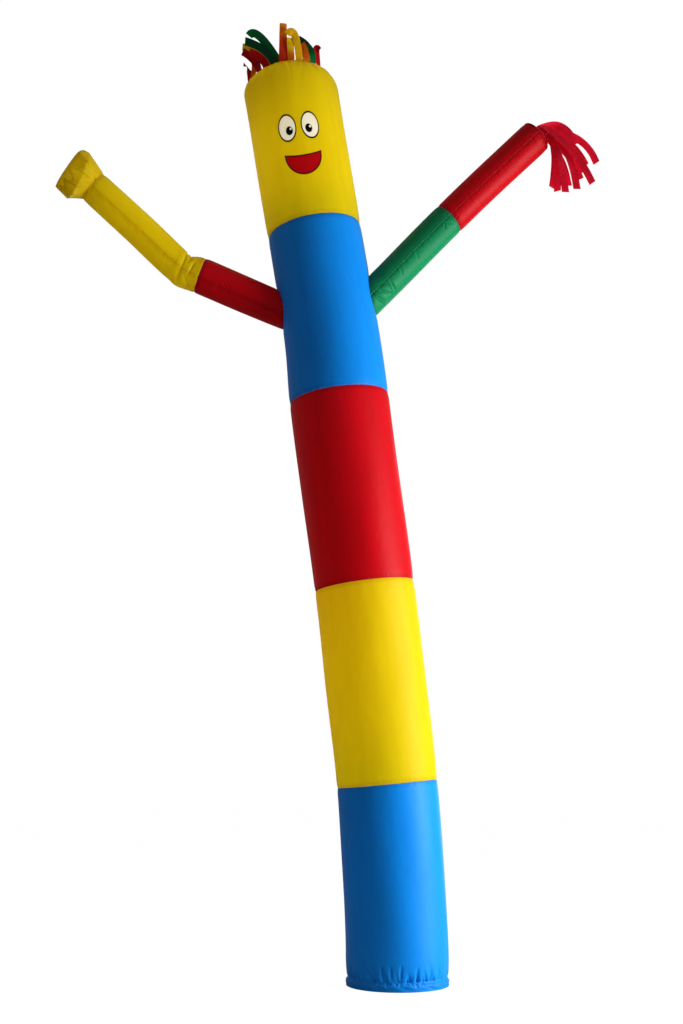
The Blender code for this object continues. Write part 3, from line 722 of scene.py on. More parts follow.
MEAN_RADIUS = 0.152
GIRTH = girth_of(MEAN_RADIUS)
BACK_SEAM_REPEAT = 3.0
FINE_ROW = 0.0011
COARSE_ROW = 0.012
HEAD_COARSE_ROW = 0.010
ARMHOLE_LAP = 0.005
AROUND_TUBE = 280
TUBE_TURN = closer_together(AROUND_TUBE, 0.0, 2, 0.5)
TUBE_ANGLES = TUBE_TURN[:-1]
TUBE_ACROSS = TUBE_TURN * MEAN_RADIUS
STITCH_FROM_SEAM = 0.0035
STITCH_BELOW_ELASTIC = 0.0025
STITCH_BESIDE_SLEEVE_SEAM = 4
BESIDE_BACK_SEAM = nearest(TUBE_ACROSS, -math.pi * MEAN_RADIUS + STITCH_FROM_SEAM)


def from_back_seam(angle):
    return np.abs(np.abs(angle * MEAN_RADIUS) - GIRTH / 2)


def panel_relief(angle, z, low, high, seed, lines=()):
    """The height of a body panel's surface over the plain tube."""
    across = angle * MEAN_RADIUS
    relief = billows(angle, z, PANEL_SWELL, seed) * edge_fade(z - low) * edge_fade(high - z)
    relief -= (seam_dip(z - low) + seam_dip(high - z)
               + trough("ring_seam", z - low) + trough("ring_seam", high - z))
    relief += gathers("panel_foot", across, z - low, GIRTH, seed + 1)
    relief += gathers("panel_top", across, high - z, GIRTH, seed + 2)
    back = from_back_seam(angle)
    relief -= trough("back_seam", back) + trough("back_dip", back)
    relief += gathers("back_seam", z, back, BACK_SEAM_REPEAT, seed + 3)
    relief += creases(across, z, placed(lines, MEAN_RADIUS))
    return relief


def any_doubled_shade(*shares):
    """The share of doubled cloth, and of its painted shade, where several seams lie near."""
    return np.maximum.reduce(shares)


def tube_panel(name, colour, low, high, seed, lines=(), holes=()):
    rows = rows_between(low + SEAM_GAP / 2, high - SEAM_GAP / 2, FINE_ROW, COARSE_ROW)
    z, angle = np.meshgrid(rows, TUBE_ANGLES, indexing="ij")
    points = ring(tube_frame(z), angle, tube_radius(z) + panel_relief(angle, z, low, high, seed, lines))
    keep = None
    for path, radius in holes:
        off, outwards = beside_arm(points, path, radius)
        points = points - outwards * trough("armhole", off)[..., None]
        inside = off < -ARMHOLE_LAP
        corner = inside & np.roll(inside, -1, axis=1)
        shut = corner[:-1] & corner[1:]
        keep = ~shut if keep is None else keep & ~shut
    doubled_painted_shade = any_doubled_shade(doubled_shade_near(z - low), doubled_shade_near(high - z), doubled_shade_near(from_back_seam(angle)))
    made = grid(points, TUBE_ACROSS, z[:, :1], doubled_painted_shade=doubled_painted_shade, keep=keep)
    piece = cloth(name, [made], satins[colour])
    sew_row(points, nearest(z[:, 0], low + STITCH_FROM_SEAM), colour)
    sew_row(points, nearest(z[:, 0], high - STITCH_FROM_SEAM), colour)
    sew_column(points, BESIDE_BACK_SEAM, colour)
    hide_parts(name)
    return piece


def beside_arm(points, path, radius):
    """How far points of the body lie outside a sleeve, and the body's outward direction there."""
    line = arm_point(path, np.linspace(-INTO_BODY, 0.12, 60))
    heading = unit(line[-1] - line[0])
    off = points[..., None, :] - line
    off = off - (off @ heading)[..., None] * heading
    away = np.linalg.norm(off, axis=-1).min(axis=-1) - radius
    near_side = (points - line[0]) @ heading > 0
    centre, _, _, up = tube_frame(points[..., 2])
    outwards = points - centre
    outwards = unit(outwards - np.sum(outwards * up, axis=-1, keepdims=True) * up)
    return np.where(near_side, away, 1.0), outwards


def base_panel():
    steps = np.linspace(0, len(HEM) - 1, HEM_ROWS)
    knots = np.arange(len(HEM))
    height = smooth(knots, column(HEM_COLUMNS, HEM, "height"), steps)
    inset = smooth(knots, column(HEM_COLUMNS, HEM, "inset"), steps)
    upper = rows_between(height[-1] + 0.004, BASE_SEAM - SEAM_GAP / 2, FINE_ROW, COARSE_ROW)
    z = np.concatenate([height, upper])
    inset = np.concatenate([inset, np.zeros(len(upper))])
    z, angle = np.meshgrid(z, TUBE_ANGLES, indexing="ij")
    across = angle * MEAN_RADIUS
    above = np.maximum(z - ELASTIC_Z, 0)
    small = gathers("hem_small", across, above, GIRTH, 11)
    large = gathers("hem_large", across, above, GIRTH, 12)
    below = gathers("under_elastic", across, np.maximum(ELASTIC_Z - z, 0), GIRTH, 13)
    rolled = ROLL_DEPTH * np.sin(19 * angle + 260 * z) * np.sin(5 * angle + 1.0)
    rolled = rolled * np.exp(-(((z - ROLL_Z) / ROLL_REACH) ** 2))
    above_line = (small + large) * np.clip((z - ELASTIC_Z) / 0.004, 0.25, 1)
    relief = np.where(z > ELASTIC_Z, above_line, below * np.clip((z - 0.004) / 0.010, 0, 1) + rolled)
    relief *= np.where(np.arange(len(z)) < ROWS_WITHOUT_GATHERS, 0.0, 1.0)[:, None]
    relief += creases(across, z, placed(BASE_CREASES, MEAN_RADIUS))
    body = panel_relief(angle, z, NO_SEAM_Z, BASE_SEAM, 21)
    relief += body * np.clip((z - 0.03) / 0.05, 0, 1)
    points = ring(tube_frame(z), angle, tube_radius(z) - inset[:, None] + relief)
    back = doubled_shade_near(from_back_seam(angle))
    doubled_painted_shade = any_doubled_shade(doubled_shade_near(z, HEM_DOUBLED_TO), doubled_shade_near(BASE_SEAM - z), back)
    along = np.concatenate([[0.0], np.cumsum(np.linalg.norm(np.diff(points[:, 0], axis=0), axis=1))])
    along = along - along[len(height)] + height[-1]
    made = grid(points, TUBE_ACROSS, along[:, None], doubled_painted_shade=doubled_painted_shade)
    piece = cloth("base_panel", [made], satins["blue"])
    sew_row(points, ROWS_INSIDE + nearest(z[ROWS_INSIDE:, 0], ELASTIC_Z - STITCH_BELOW_ELASTIC), "blue")
    sew_row(points, nearest(z[:, 0], BASE_SEAM - STITCH_FROM_SEAM), "blue")
    sew_column(points[ROWS_INSIDE:], BESIDE_BACK_SEAM, "blue")
    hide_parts("base_panel")
    return piece


def shoulder_rounding(angle):
    """The head's rounding, which is softer on the picture's right."""
    return SHOULDER_ROUNDING + SHOULDER_UNEVEN * np.sin(angle)


def top_seam_radius(angle):
    return tube_radius(TOP_SEAM_Z) - shoulder_rounding(angle) * (1 - math.cos(SHOULDER_ANGLE))


def head_panel():
    angle = TUBE_ANGLES
    across = angle * MEAN_RADIUS
    bend = shoulder_rounding(angle)
    straight = rows_between(NECK_SEAM + SEAM_GAP / 2, SHOULDER_FROM, FINE_ROW, HEAD_COARSE_ROW)[:, None]
    turned = SHOULDER_ANGLE * np.linspace(0, 1, SHOULDER_ROWS)[:, None]
    start = TOP_SEAM_Z - bend * math.sin(SHOULDER_ANGLE)
    between = np.linspace(0, 1, ROWS_TO_SHOULDER)[1:-1, None]
    height = np.concatenate([
        np.broadcast_to(straight, (len(straight), AROUND_TUBE)),
        SHOULDER_FROM + (start - SHOULDER_FROM) * between,
        start + bend * np.sin(turned),
    ])
    lean = np.concatenate([np.zeros((len(straight) + len(between), AROUND_TUBE)), turned + 0 * bend])
    inwards = bend * (1 - np.cos(lean))
    along = np.where(lean > 0, start + bend * lean, height)
    end = start + bend * SHOULDER_ANGLE
    to_seam = end - along
    from_neck = height - NECK_SEAM
    relief = billows(angle, height, HEAD_SWELL, 41) * edge_fade(from_neck) * edge_fade(to_seam)
    relief -= seam_dip(from_neck) + trough("ring_seam", from_neck) + trough("ring_seam", to_seam)
    relief -= trough("head_rim", to_seam)
    relief += gathers("neck", across, from_neck, GIRTH, 42)
    rim = gathers("head_rim", across, to_seam, GIRTH, 43)
    rim += gathers("head_rim_wide", across, to_seam, GIRTH, 44)
    rim += gathers("head_rim_long", across, to_seam, GIRTH, 45)
    relief += rim * edge_fade(to_seam, RIM_FADE)
    back = from_back_seam(angle) + 0 * height
    relief -= trough("back_seam", back) + trough("back_dip", back)
    relief += creases(across, height, placed(HEAD_CREASES, MEAN_RADIUS))
    radius = tube_radius(height) - inwards + relief * np.cos(lean)
    frames = tube_frame(np.minimum(height, TOP_SEAM_Z))
    points = ring(frames, angle + 0 * height, radius, relief * np.sin(lean))
    doubled_painted_shade = any_doubled_shade(doubled_shade_near(from_neck), doubled_shade_near(to_seam), doubled_shade_near(back))
    made = grid(points, TUBE_ACROSS, closed_round(along), doubled_painted_shade=doubled_painted_shade)
    piece = cloth("head_panel", [made], satins["head"])
    sew_row(points, nearest(height[:, 0], NECK_SEAM + STITCH_FROM_SEAM), "yellow")
    sew_row(points, nearest(to_seam[:, 0], 0.003), "yellow")
    sew_column(points, BESIDE_BACK_SEAM, "yellow")
    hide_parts("head_panel")
    return piece


def dome_point(angle, lean):
    """A point of the head's top, at an angle from its middle. It starts one seam gap past the shoulder."""
    radius = top_seam_radius(angle) * np.sin(lean) / math.sin(DOME_EDGE)
    rise = DOME_HEIGHT * (np.cos(lean) - math.cos(DOME_EDGE)) / (1 - math.cos(DOME_EDGE))
    inwards = SEAM_GAP * math.cos(DOME_EDGE) * np.sin(lean) / math.sin(DOME_EDGE)
    top = tube_frame(np.full(np.broadcast(angle, lean).shape, TOP_SEAM_Z))
    return ring(top, angle + 0 * lean, radius - inwards, rise + SEAM_GAP * math.sin(DOME_EDGE))


def head_top():
    lean = DOME_EDGE * (1 - np.linspace(0, 1, DOME_ROWS)[:, None] ** DOME_ROW_EASE)
    points = dome_point(TUBE_ANGLES, lean)
    to_seam = (DOME_EDGE - lean) / DOME_EDGE * TOP_RADIUS + 0 * TUBE_ANGLES
    relief = gathers("head_top", TUBE_ANGLES * TOP_RADIUS, to_seam, girth_of(TOP_RADIUS), 51)
    relief *= edge_fade(to_seam, RIM_FADE)
    relief -= trough("top_rim", to_seam) + trough("ring_seam", to_seam)
    relief *= np.clip(lean / DOME_EDGE * 4, 0, 1)
    up = tube_frame(np.array(TOP_SEAM_Z))[3]
    points = points + relief[..., None] * up
    far = closed_round(to_seam - TOP_RADIUS)
    made = grid(points, far * np.sin(TUBE_TURN), far * np.cos(TUBE_TURN), doubled_painted_shade=doubled_shade_near(to_seam))
    piece = cloth("head_top", [made], satins["yellow"], merge=True)
    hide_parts("head_top")
    return piece


# The arms. A sleeve starts a little inside the body's wall. Its rows are shares of its length: how far apart
# they lie near a seam and between seams, and how far the close ones reach.
AROUND_ARM = 96
AROUND_SLEEVE = 116
INTO_WALL = 0.006
SLEEVE_ROWS = (0.003, 0.0072, 0.12)
SLEEVE_SEAM_REPEAT = 2.0
SLEEVE_ALLOWANCE = 0.008
ARM_ANGLES = np.linspace(-math.pi, math.pi, AROUND_ARM, endpoint=False)


def outside_tube(points):
    """How far points lie outside the tube's cloth."""
    z = points[..., 2]
    for _ in range(5):
        centre, _, _, up = tube_frame(z)
        z = z + np.sum((points - centre) * up, axis=-1) * up[..., 2]
    centre, _, _, up = tube_frame(z)
    return np.linalg.norm(points - centre, axis=-1) - tube_radius(z) - SEAM_GAP


def sleeve_radius(rows, angle, at):
    upper = np.maximum(0, np.cos(angle)) ** 2
    radius = curve(RING_COLUMNS, rows, "radius", "at", at)
    return radius - curve(RING_COLUMNS, rows, "drawn", "at", at) * upper


def root_of(path, rows, angles):
    """Where each side of a sleeve meets the body, as a distance along the sleeve."""
    low, high = np.full(len(angles), -INTO_BODY), np.full(len(angles), 0.15)
    for _ in range(24):
        middle = (low + high) / 2
        points = ring(arm_frame(path, middle), angles, sleeve_radius(rows, angles, middle))
        out = outside_tube(points) > 0
        low, high = np.where(out, low, middle), np.where(out, middle, high)
    return high


def sleeve(name, colour, path, rows, seam_angle, lines, seed, on_body=False):
    end = rows[-1][0] - SEAM_GAP / 2
    closed = closer_together(AROUND_SLEEVE, math.radians(seam_angle), 1, 0.65)
    angles = closed[:-1]
    start = np.full(AROUND_SLEEVE, rows[0][0] + SEAM_GAP / 2)
    if on_body:
        start = root_of(path, rows, angles) - INTO_WALL
    share = rows_between(0.0, 1.0, *SLEEVE_ROWS)[:, None]
    at = start + (end - start) * share
    angle = angles + 0 * at
    end_radius = rows[-1][1]
    across = angle * end_radius
    around = girth_of(end_radius)
    from_start, to_end = at - start, end - at
    relief = billows(angle, at, SLEEVE_SWELL, seed, 3) * edge_fade(from_start) * edge_fade(to_end)
    relief -= trough("sleeve_end", to_end) + trough("sleeve_end", from_start)
    relief -= trough("ring_seam", from_start) + trough("ring_seam", to_end)
    relief += gathers("sleeve_root" if on_body else "sleeve_elbow", across, from_start, around, seed + 1)
    relief += gathers("sleeve_end", across, to_end, around, seed + 2)
    seam = math.radians(seam_angle) * end_radius
    side = (across - seam + around / 2) % around - around / 2
    off = np.abs(side)
    relief -= trough("sleeve_seam", off)
    below = np.where(side * math.sin(seam) > 0, 1.0, 0.5)
    relief += gathers("sleeve_seam", at, off, SLEEVE_SEAM_REPEAT, seed + 3) * below
    for turn in (-around, 0.0, around):
        relief += creases(across + turn, at, placed(lines, end_radius))
    points = ring(arm_frame(path, at), angle, sleeve_radius(rows, angle, at) + relief)
    doubled_painted_shade = any_doubled_shade(
        doubled_shade_near(from_start), doubled_shade_near(to_end), doubled_shade_near(off, SLEEVE_ALLOWANCE)
    )
    made = grid(points, closed * end_radius, closed_round(at), doubled_painted_shade=doubled_painted_shade)
    piece = cloth(name, [made], satins[colour])
    sew_row(points, nearest(from_start[:, 0], STITCH_FROM_SEAM), colour)
    sew_row(points, nearest(to_end[:, 0], STITCH_FROM_SEAM), colour)
    beside = math.radians(seam_angle + STITCH_BESIDE_SLEEVE_SEAM)
    sew_column(points, nearest(angles, beside), colour)
    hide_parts(name)
    return piece


def left_cuff():
    wrist_radius = LEFT_FOREARM[-1][1]
    wrist_at = LEFT_FOREARM[-1][0]
    centre, _, up, out = arm_frame(LEFT_ARM, np.array(wrist_at + SEAM_GAP / 2))
    degrees = np.linspace(-180, 180, CUFF_AROUND, endpoint=False)
    angle = np.radians(degrees)
    run = np.linspace(0, 1, CUFF_ROWS)[:, None]
    lengths = np.interp(degrees, column(CUFF_RIM_COLUMNS, CUFF_RIM_LINE, "angle"),
                        column(CUFF_RIM_COLUMNS, CUFF_RIM_LINE, "length"))
    length = lengths * run
    in_full = length / CUFF_LENGTH
    flare = np.minimum(1.0, in_full / (CUFF_FLARED_BY + CUFF_FLARE_UNEVEN * np.cos(angle))) ** CUFF_FLARE_BOW
    radius = wrist_radius + (CUFF_RIM - wrist_radius) * flare - CUFF_DRAW_IN * in_full**2
    reach = CUFF_DEGREES_LONG
    lines = [
        (c["angle"], c["run"] * reach, c["to_angle"], c["to_run"] * reach, c["width"], c["depth"])
        for c in named(CUFF_CREASE_COLUMNS, CUFF_CREASES)
    ]
    relief = np.zeros_like(length)
    for turn in (-360, 0, 360):
        relief += creases(degrees + turn, run * reach, lines)
    relief += billows(angle, length * 4, CUFF_SWELL, 61) * run
    relief += gathers("wrist", angle * wrist_radius, length, girth_of(wrist_radius), 62)
    relief -= trough("ring_seam", length) + trough("wrist", length)
    turned = np.minimum(1.0, run / CUFF_TOWARDS_BY)[..., None]
    heading = unit(out * (1 - turned) + unit(np.array(CUFF_TOWARDS)) * turned)
    side = unit(up - heading * np.sum(heading * up, axis=-1, keepdims=True))
    frame_here = (centre + heading * length[..., None], np.cross(heading, side), side, heading)
    points = ring(frame_here, angle + 0 * length, radius + relief)
    across = np.linspace(-math.pi, math.pi, CUFF_AROUND + 1) * CUFF_PATTERN_RADIUS
    doubled_painted_shade = any_doubled_shade(doubled_shade_near(length, 0.006), doubled_shade_near(lengths - length, 0.010))
    made = grid(points, across, closed_round(length), doubled_painted_shade=doubled_painted_shade)
    piece = cloth("left_cuff", [made], satins["cuff"])
    sew_row(points, nearest(length[:, 0], 0.003), "yellow")
    sew_row(points, nearest(run[:, 0], CUFF_STITCHES), "yellow")
    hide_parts("left_cuff")
    return piece


HAND_AT, HAND_RADIUS, _ = RIGHT_FOREARM[-1]


def hand_rise(radius):
    """How far the right hand's end bulges out at a radius."""
    return HAND_DOME * np.sqrt(np.maximum(0, 1 - (radius / HAND_RADIUS) ** 2))


def hand_frame():
    return arm_frame(RIGHT_ARM, np.array(HAND_AT + SEAM_GAP / 2))


def right_hand_end():
    lean = np.linspace(math.pi / 2, 0, HAND_ROWS)[:, None]
    radius = HAND_RADIUS * np.sin(lean) + 0 * ARM_ANGLES
    to_seam = HAND_RADIUS - radius
    relief = gathers("hand_end", ARM_ANGLES * HAND_RADIUS, to_seam, girth_of(HAND_RADIUS), 71)
    relief *= np.clip(radius / HAND_RADIUS * 3 - 0.2, 0, 1)
    points = ring(hand_frame(), ARM_ANGLES + 0 * lean, radius, hand_rise(radius) + relief)
    turn = np.linspace(-math.pi, math.pi, AROUND_ARM + 1)
    far = closed_round(radius)
    made = grid(points, far * np.sin(turn), far * np.cos(turn), doubled_painted_shade=doubled_shade_near(to_seam))
    piece = cloth("right_hand_end", [made], satins["red"], merge=True)
    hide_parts("right_hand_end")
    return piece


def bend_through(start, bend, tip, share):
    """A point of the plain curve that leaves start towards bend and ends at tip."""
    return start * (1 - share) ** 2 + bend * 2 * share * (1 - share) + tip * share**2


def turn_towards(a, b, share):
    """The direction that lies a share of the way from direction a to direction b."""
    apart = math.acos(float(np.clip(a @ b, -1, 1)))
    if apart < 1e-5:
        return a
    return (math.sin((1 - share) * apart) * a + math.sin(share * apart) * b) / math.sin(apart)


CAD_ROWS = 7


def ribbon_strip(start, lift, bend, tip, across, width_at, twist=0.0, curl=RIBBON_CURL, cut=0.0, seed=0):
    """The grid of one ribbon with its length and mean width, along the CAD model's line for it: from its
    root, where it lies along across, to its tip, where it lies flat to the viewer but for its twist. cut
    slants its end."""
    line = [start, start + lift]
    line += [bend_through(line[1], bend, tip, i / (CAD_ROWS - 1)) for i in range(1, CAD_ROWS)]
    last = len(line) - 1
    sides, widths = [], []
    mixed = across
    for i in range(last + 1):
        heading = unit(line[min(i + 1, last)] - line[max(i - 1, 0)])
        share = i / last
        across = unit(across - heading * (across @ heading))
        flat = unit(np.cross(heading, TOWARDS_VIEWER))
        if flat @ mixed < 0:
            flat = -flat
        mixed = turn_towards(across, flat, min(1.0, share * FACING_RATE))
        angle = twist * share
        sides.append(mixed * math.cos(angle) + np.cross(heading, mixed) * math.sin(angle))
        widths.append(width_at(share))
    rng = np.random.default_rng(seed)
    knots = np.arange(last + 1)
    v = np.array(RIBBON_SIDES)
    run = np.concatenate([np.linspace(0, 0.995, RIBBON_ROWS), [1.0]])[:, None]
    steps = last * run * (1 + cut * v * run**6 / last)
    middle = on_line(knots, line, steps)
    heading = unit(middle - on_line(knots, line, steps - 0.05))
    side = on_line(knots, sides, steps)
    side = unit(side - heading * np.sum(heading * side, axis=-1, keepdims=True))
    width = smooth(knots, widths, steps)
    normal = np.cross(side, heading)
    ripple = RIBBON_RIPPLE * np.sin(run * rng.uniform(9, 15) + rng.uniform(0, 6)) * v * 2
    bow = curl * width * (0.25 - v**2) * 4 * np.minimum(1, run * 4) * np.sign(rng.uniform(-0.4, 1))
    points = middle + side * (width * v)[..., None] + normal * (bow + ripple)[..., None]
    length = np.sum(np.linalg.norm(np.diff(points[:, len(v) // 2], axis=0), axis=1))
    return grid(points, width * v, run * length + 0 * v, wrapped=False), float(length), float(np.mean(widths))


def hand_fringe():
    flat = hand_frame()
    centre, out = flat[0], flat[3]

    def on_end(angle, radius, rise):
        """A point of the fringe's band, which stands on the hand's end, a little below its middle."""
        across, up = radius * np.sin(angle), radius * np.cos(angle) - FRINGE_BELOW
        far = np.hypot(across, up)
        return ring(flat, np.arctan2(across, up), far, hand_rise(far) + SEAM_GAP + rise)

    turn = np.linspace(-math.pi, math.pi, BAND_PLACES)
    rise = np.linspace(0, 1, BAND_ROWS)[:, None] * FRINGE_BAND
    ruffle = BAND_RUFFLE * np.sin(BAND_RUFFLES * turn[:-1]) * rise / FRINGE_BAND
    points = on_end(turn[:-1] + 0 * rise, FRINGE_RADIUS + ruffle, rise)
    grids = [grid(points, turn * FRINGE_RADIUS, rise)]
    rng = np.random.default_rng(7)
    for number, strand in enumerate(named(FRINGE_COLUMNS, FRINGE)):
        ends = np.radians([strand["angle"], strand["angle"] + FRINGE_FACE])
        first, second = on_end(ends, FRINGE_RADIUS, FRINGE_BAND)
        across = second - first
        outer = number % 2 == 0
        layer = 1 + FRINGE_LAYER if outer else 1 - FRINGE_LAYER
        side = layer * math.sin(math.radians(strand["angle"] + FRINGE_FACE / 2))
        bend = centre + np.array((strand["bend_x"], -FRINGE_BEND_SPREAD * side, strand["bend_z"]))
        tip = centre + np.array((strand["tip_x"], -FRINGE_TIP_SPREAD * side, strand["tip_z"]))
        lift = out * strand["lead"]
        if outer:
            lift = lift + unit(np.cross(across, out)) * FRINGE_STEP

        def width_at(share):
            return FRINGE_ROOT_WIDTH + (FRINGE_WIDTH - FRINGE_ROOT_WIDTH) * min(1.0, share / FRINGE_WIDE_BY)

        strip, _, _ = ribbon_strip(
            (first + second) / 2, lift, bend, tip, unit(across), width_at,
            curl=FRINGE_CURL, cut=rng.uniform(-FRINGE_CUT, FRINGE_CUT), seed=80 + number,
        )
        grids.append(strip)
    piece = cloth("right_hand_fringe", grids, satins["fringe"], wall=RIBBON_CLOTH, offset=0.0)
    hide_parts("right_hand_fringe")
    return piece


def head_ribbons():
    made = []
    for number, strand in enumerate(named(HAIR_COLUMNS, HAIR), 1):
        angle = np.array(math.radians(strand["angle"]))
        lean = np.array(math.asin(math.sin(DOME_EDGE) * strand["row"]))
        here = dome_point(angle, lean)
        step = 0.06
        along = unit(dome_point(angle + step, lean) - dome_point(angle - step, lean))
        normal = unit(np.cross(along, dome_point(angle, lean - 0.01) - here))
        root = here - normal * RIBBON_IN_SEAM
        bend = root + np.array((strand["bend_x"], strand["bend_y"], strand["bend_z"]))
        tip = root + np.array((strand["tip_x"], strand["tip_y"], strand["tip_z"]))
        strip, length, width = ribbon_strip(
            root, normal * RIBBON_STAND, bend, tip, along, lambda share: strand["width"],
            math.radians(strand["twist"]), cut=RIBBON_CUT, seed=100 + number,
        )
        colour = strand["colour"]
        name = f"head_ribbon_{number:02d}_{colour}"
        finish = ribbons[SHADED_RIBBONS.get(number, colour)]
        piece = cloth(name, [strip], finish, wall=RIBBON_CLOTH, offset=0.0)
        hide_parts(name)
        made.append((piece, width, length))
    return made


def linear(hex_colour):
    """An sRGB hex colour as linear light."""
    channels = [int(hex_colour[i:i + 2], 16) / 255 for i in (1, 3, 5)]
    return (*[c / 12.92 if c <= 0.04045 else ((c + 0.055) / 1.055) ** 2.4 for c in channels], 1.0)


def add(tree, kind, settings=None, **inputs):
    """Adds a node with its settings. An input is a value or another node's output socket."""
    node = tree.nodes.new(kind)
    for name, value in (settings or {}).items():
        setattr(node, name, value)
    for name, value in inputs.items():
        socket = node.inputs[int(name[1:])] if name[0] == "_" else node.inputs[name.replace("_", " ")]
        if isinstance(value, bpy.types.NodeSocket):
            tree.links.new(value, socket)
        else:
            socket.default_value = value
    return node


def new_material(name):
    made = bpy.data.materials.new(name)
    made.use_nodes = True
    made.node_tree.nodes.clear()
    return made, made.node_tree


# The cloth's pattern, on places in metres: streaks about 30 mm wide and 200 mm long, waves 2 mm apart for
# the yarns, and crumpling about 25 mm across. A ribbon's second dye runs in over 30 mm.
STREAK_SCALE = (34.0, 5.0, 1.0)
YARN_SCALE = 157.0
CRUMPLE_SCALE = 38.0
TIP_FADE = 0.03


def nylon(name, bright, deep, glow=0.0, printed=False, ribbon_tip=None, tip_from=0.0, rough=0.42):
    """Nylon taffeta with a satin finish: filament yarn, plain-woven and heat-set, so that it is smooth,
    with a soft wide gloss, a faint cross-hatch and long uneven streaks. A seam's doubled cloth is painted
    deeper: painted shade for the seam's fold and for the light that comes less through two layers."""
    made, tree = new_material(name)
    place = add(tree, "ShaderNodeUVMap", {"uv_map": "cloth"}).outputs["UV"]
    axes = add(tree, "ShaderNodeSeparateXYZ", Vector=place)
    streaks = add(tree, "ShaderNodeMapping", Vector=place, Scale=STREAK_SCALE).outputs["Vector"]
    uneven = add(tree, "ShaderNodeTexNoise", {"noise_dimensions": "2D"},
                 Vector=streaks, Scale=1.0, Detail=3.0)
    # Doubled seam cloth is painted deeper: painted shade for the seam's fold and for less light through two
    # layers
    doubled_painted_shade = add(tree, "ShaderNodeAttribute", {"attribute_name": "doubled_painted_shade"}).outputs["Fac"]
    depth = add(tree, "ShaderNodeMath", {"operation": "MULTIPLY_ADD"},
                _0=uneven.outputs["Fac"], _1=0.5, _2=-0.1)
    depth = add(tree, "ShaderNodeMath", {"operation": "MULTIPLY_ADD"},
                _0=doubled_painted_shade, _1=0.45, _2=depth.outputs[0])
    shade = add(tree, "ShaderNodeMix", {"data_type": "RGBA"},
                _0=depth.outputs[0], _6=linear(bright), _7=linear(deep))
    colour = shade.outputs[2]
    if ribbon_tip:
        up = add(tree, "ShaderNodeMapRange", Value=axes.outputs["Y"], _1=tip_from, _2=tip_from + TIP_FADE)
        graded = add(tree, "ShaderNodeMix", {"data_type": "RGBA"},
                     _0=up.outputs[0], _6=colour, _7=linear(ribbon_tip))
        colour = graded.outputs[2]
    if printed:
        colour = printed_face(tree, colour, place)
    # The yarns are 0.2 mm apart, too fine to show, so they are drawn 2 mm apart
    warp, weft = [
        add(tree, "ShaderNodeTexWave", {"bands_direction": way},
            Vector=place, Scale=YARN_SCALE, Distortion=0.6)
        for way in ("X", "Y")
    ]
    weave = add(tree, "ShaderNodeMath", {"operation": "ADD"}, _0=warp.outputs["Fac"], _1=weft.outputs["Fac"])
    crumple = add(tree, "ShaderNodeTexNoise", {"noise_dimensions": "2D"},
                  Vector=place, Scale=CRUMPLE_SCALE, Detail=4.0)
    soft = add(tree, "ShaderNodeBump", Height=crumple.outputs["Fac"], Strength=0.16, Distance=0.004)
    fine = add(tree, "ShaderNodeBump", Height=weave.outputs[0], Strength=0.035, Distance=0.0004,
               Normal=soft.outputs[0])
    gloss = add(tree, "ShaderNodeMapRange", Value=uneven.outputs["Fac"], _3=rough - 0.05, _4=rough + 0.07)
    shader = add(tree, "ShaderNodeBsdfPrincipled", Base_Color=colour, Roughness=gloss.outputs[0],
                 Normal=fine.outputs[0])
    shader.inputs["Sheen Weight"].default_value = 0.03
    shader.inputs["Specular IOR Level"].default_value = 0.11
    surface = shader.outputs[0]
    if glow:
        through = add(tree, "ShaderNodeBsdfTranslucent", Color=colour, Normal=fine.outputs[0])
        surface = add(tree, "ShaderNodeMixShader", _0=glow, _1=surface, _2=through.outputs[0]).outputs[0]
    add(tree, "ShaderNodeOutputMaterial", Surface=surface)
    return made


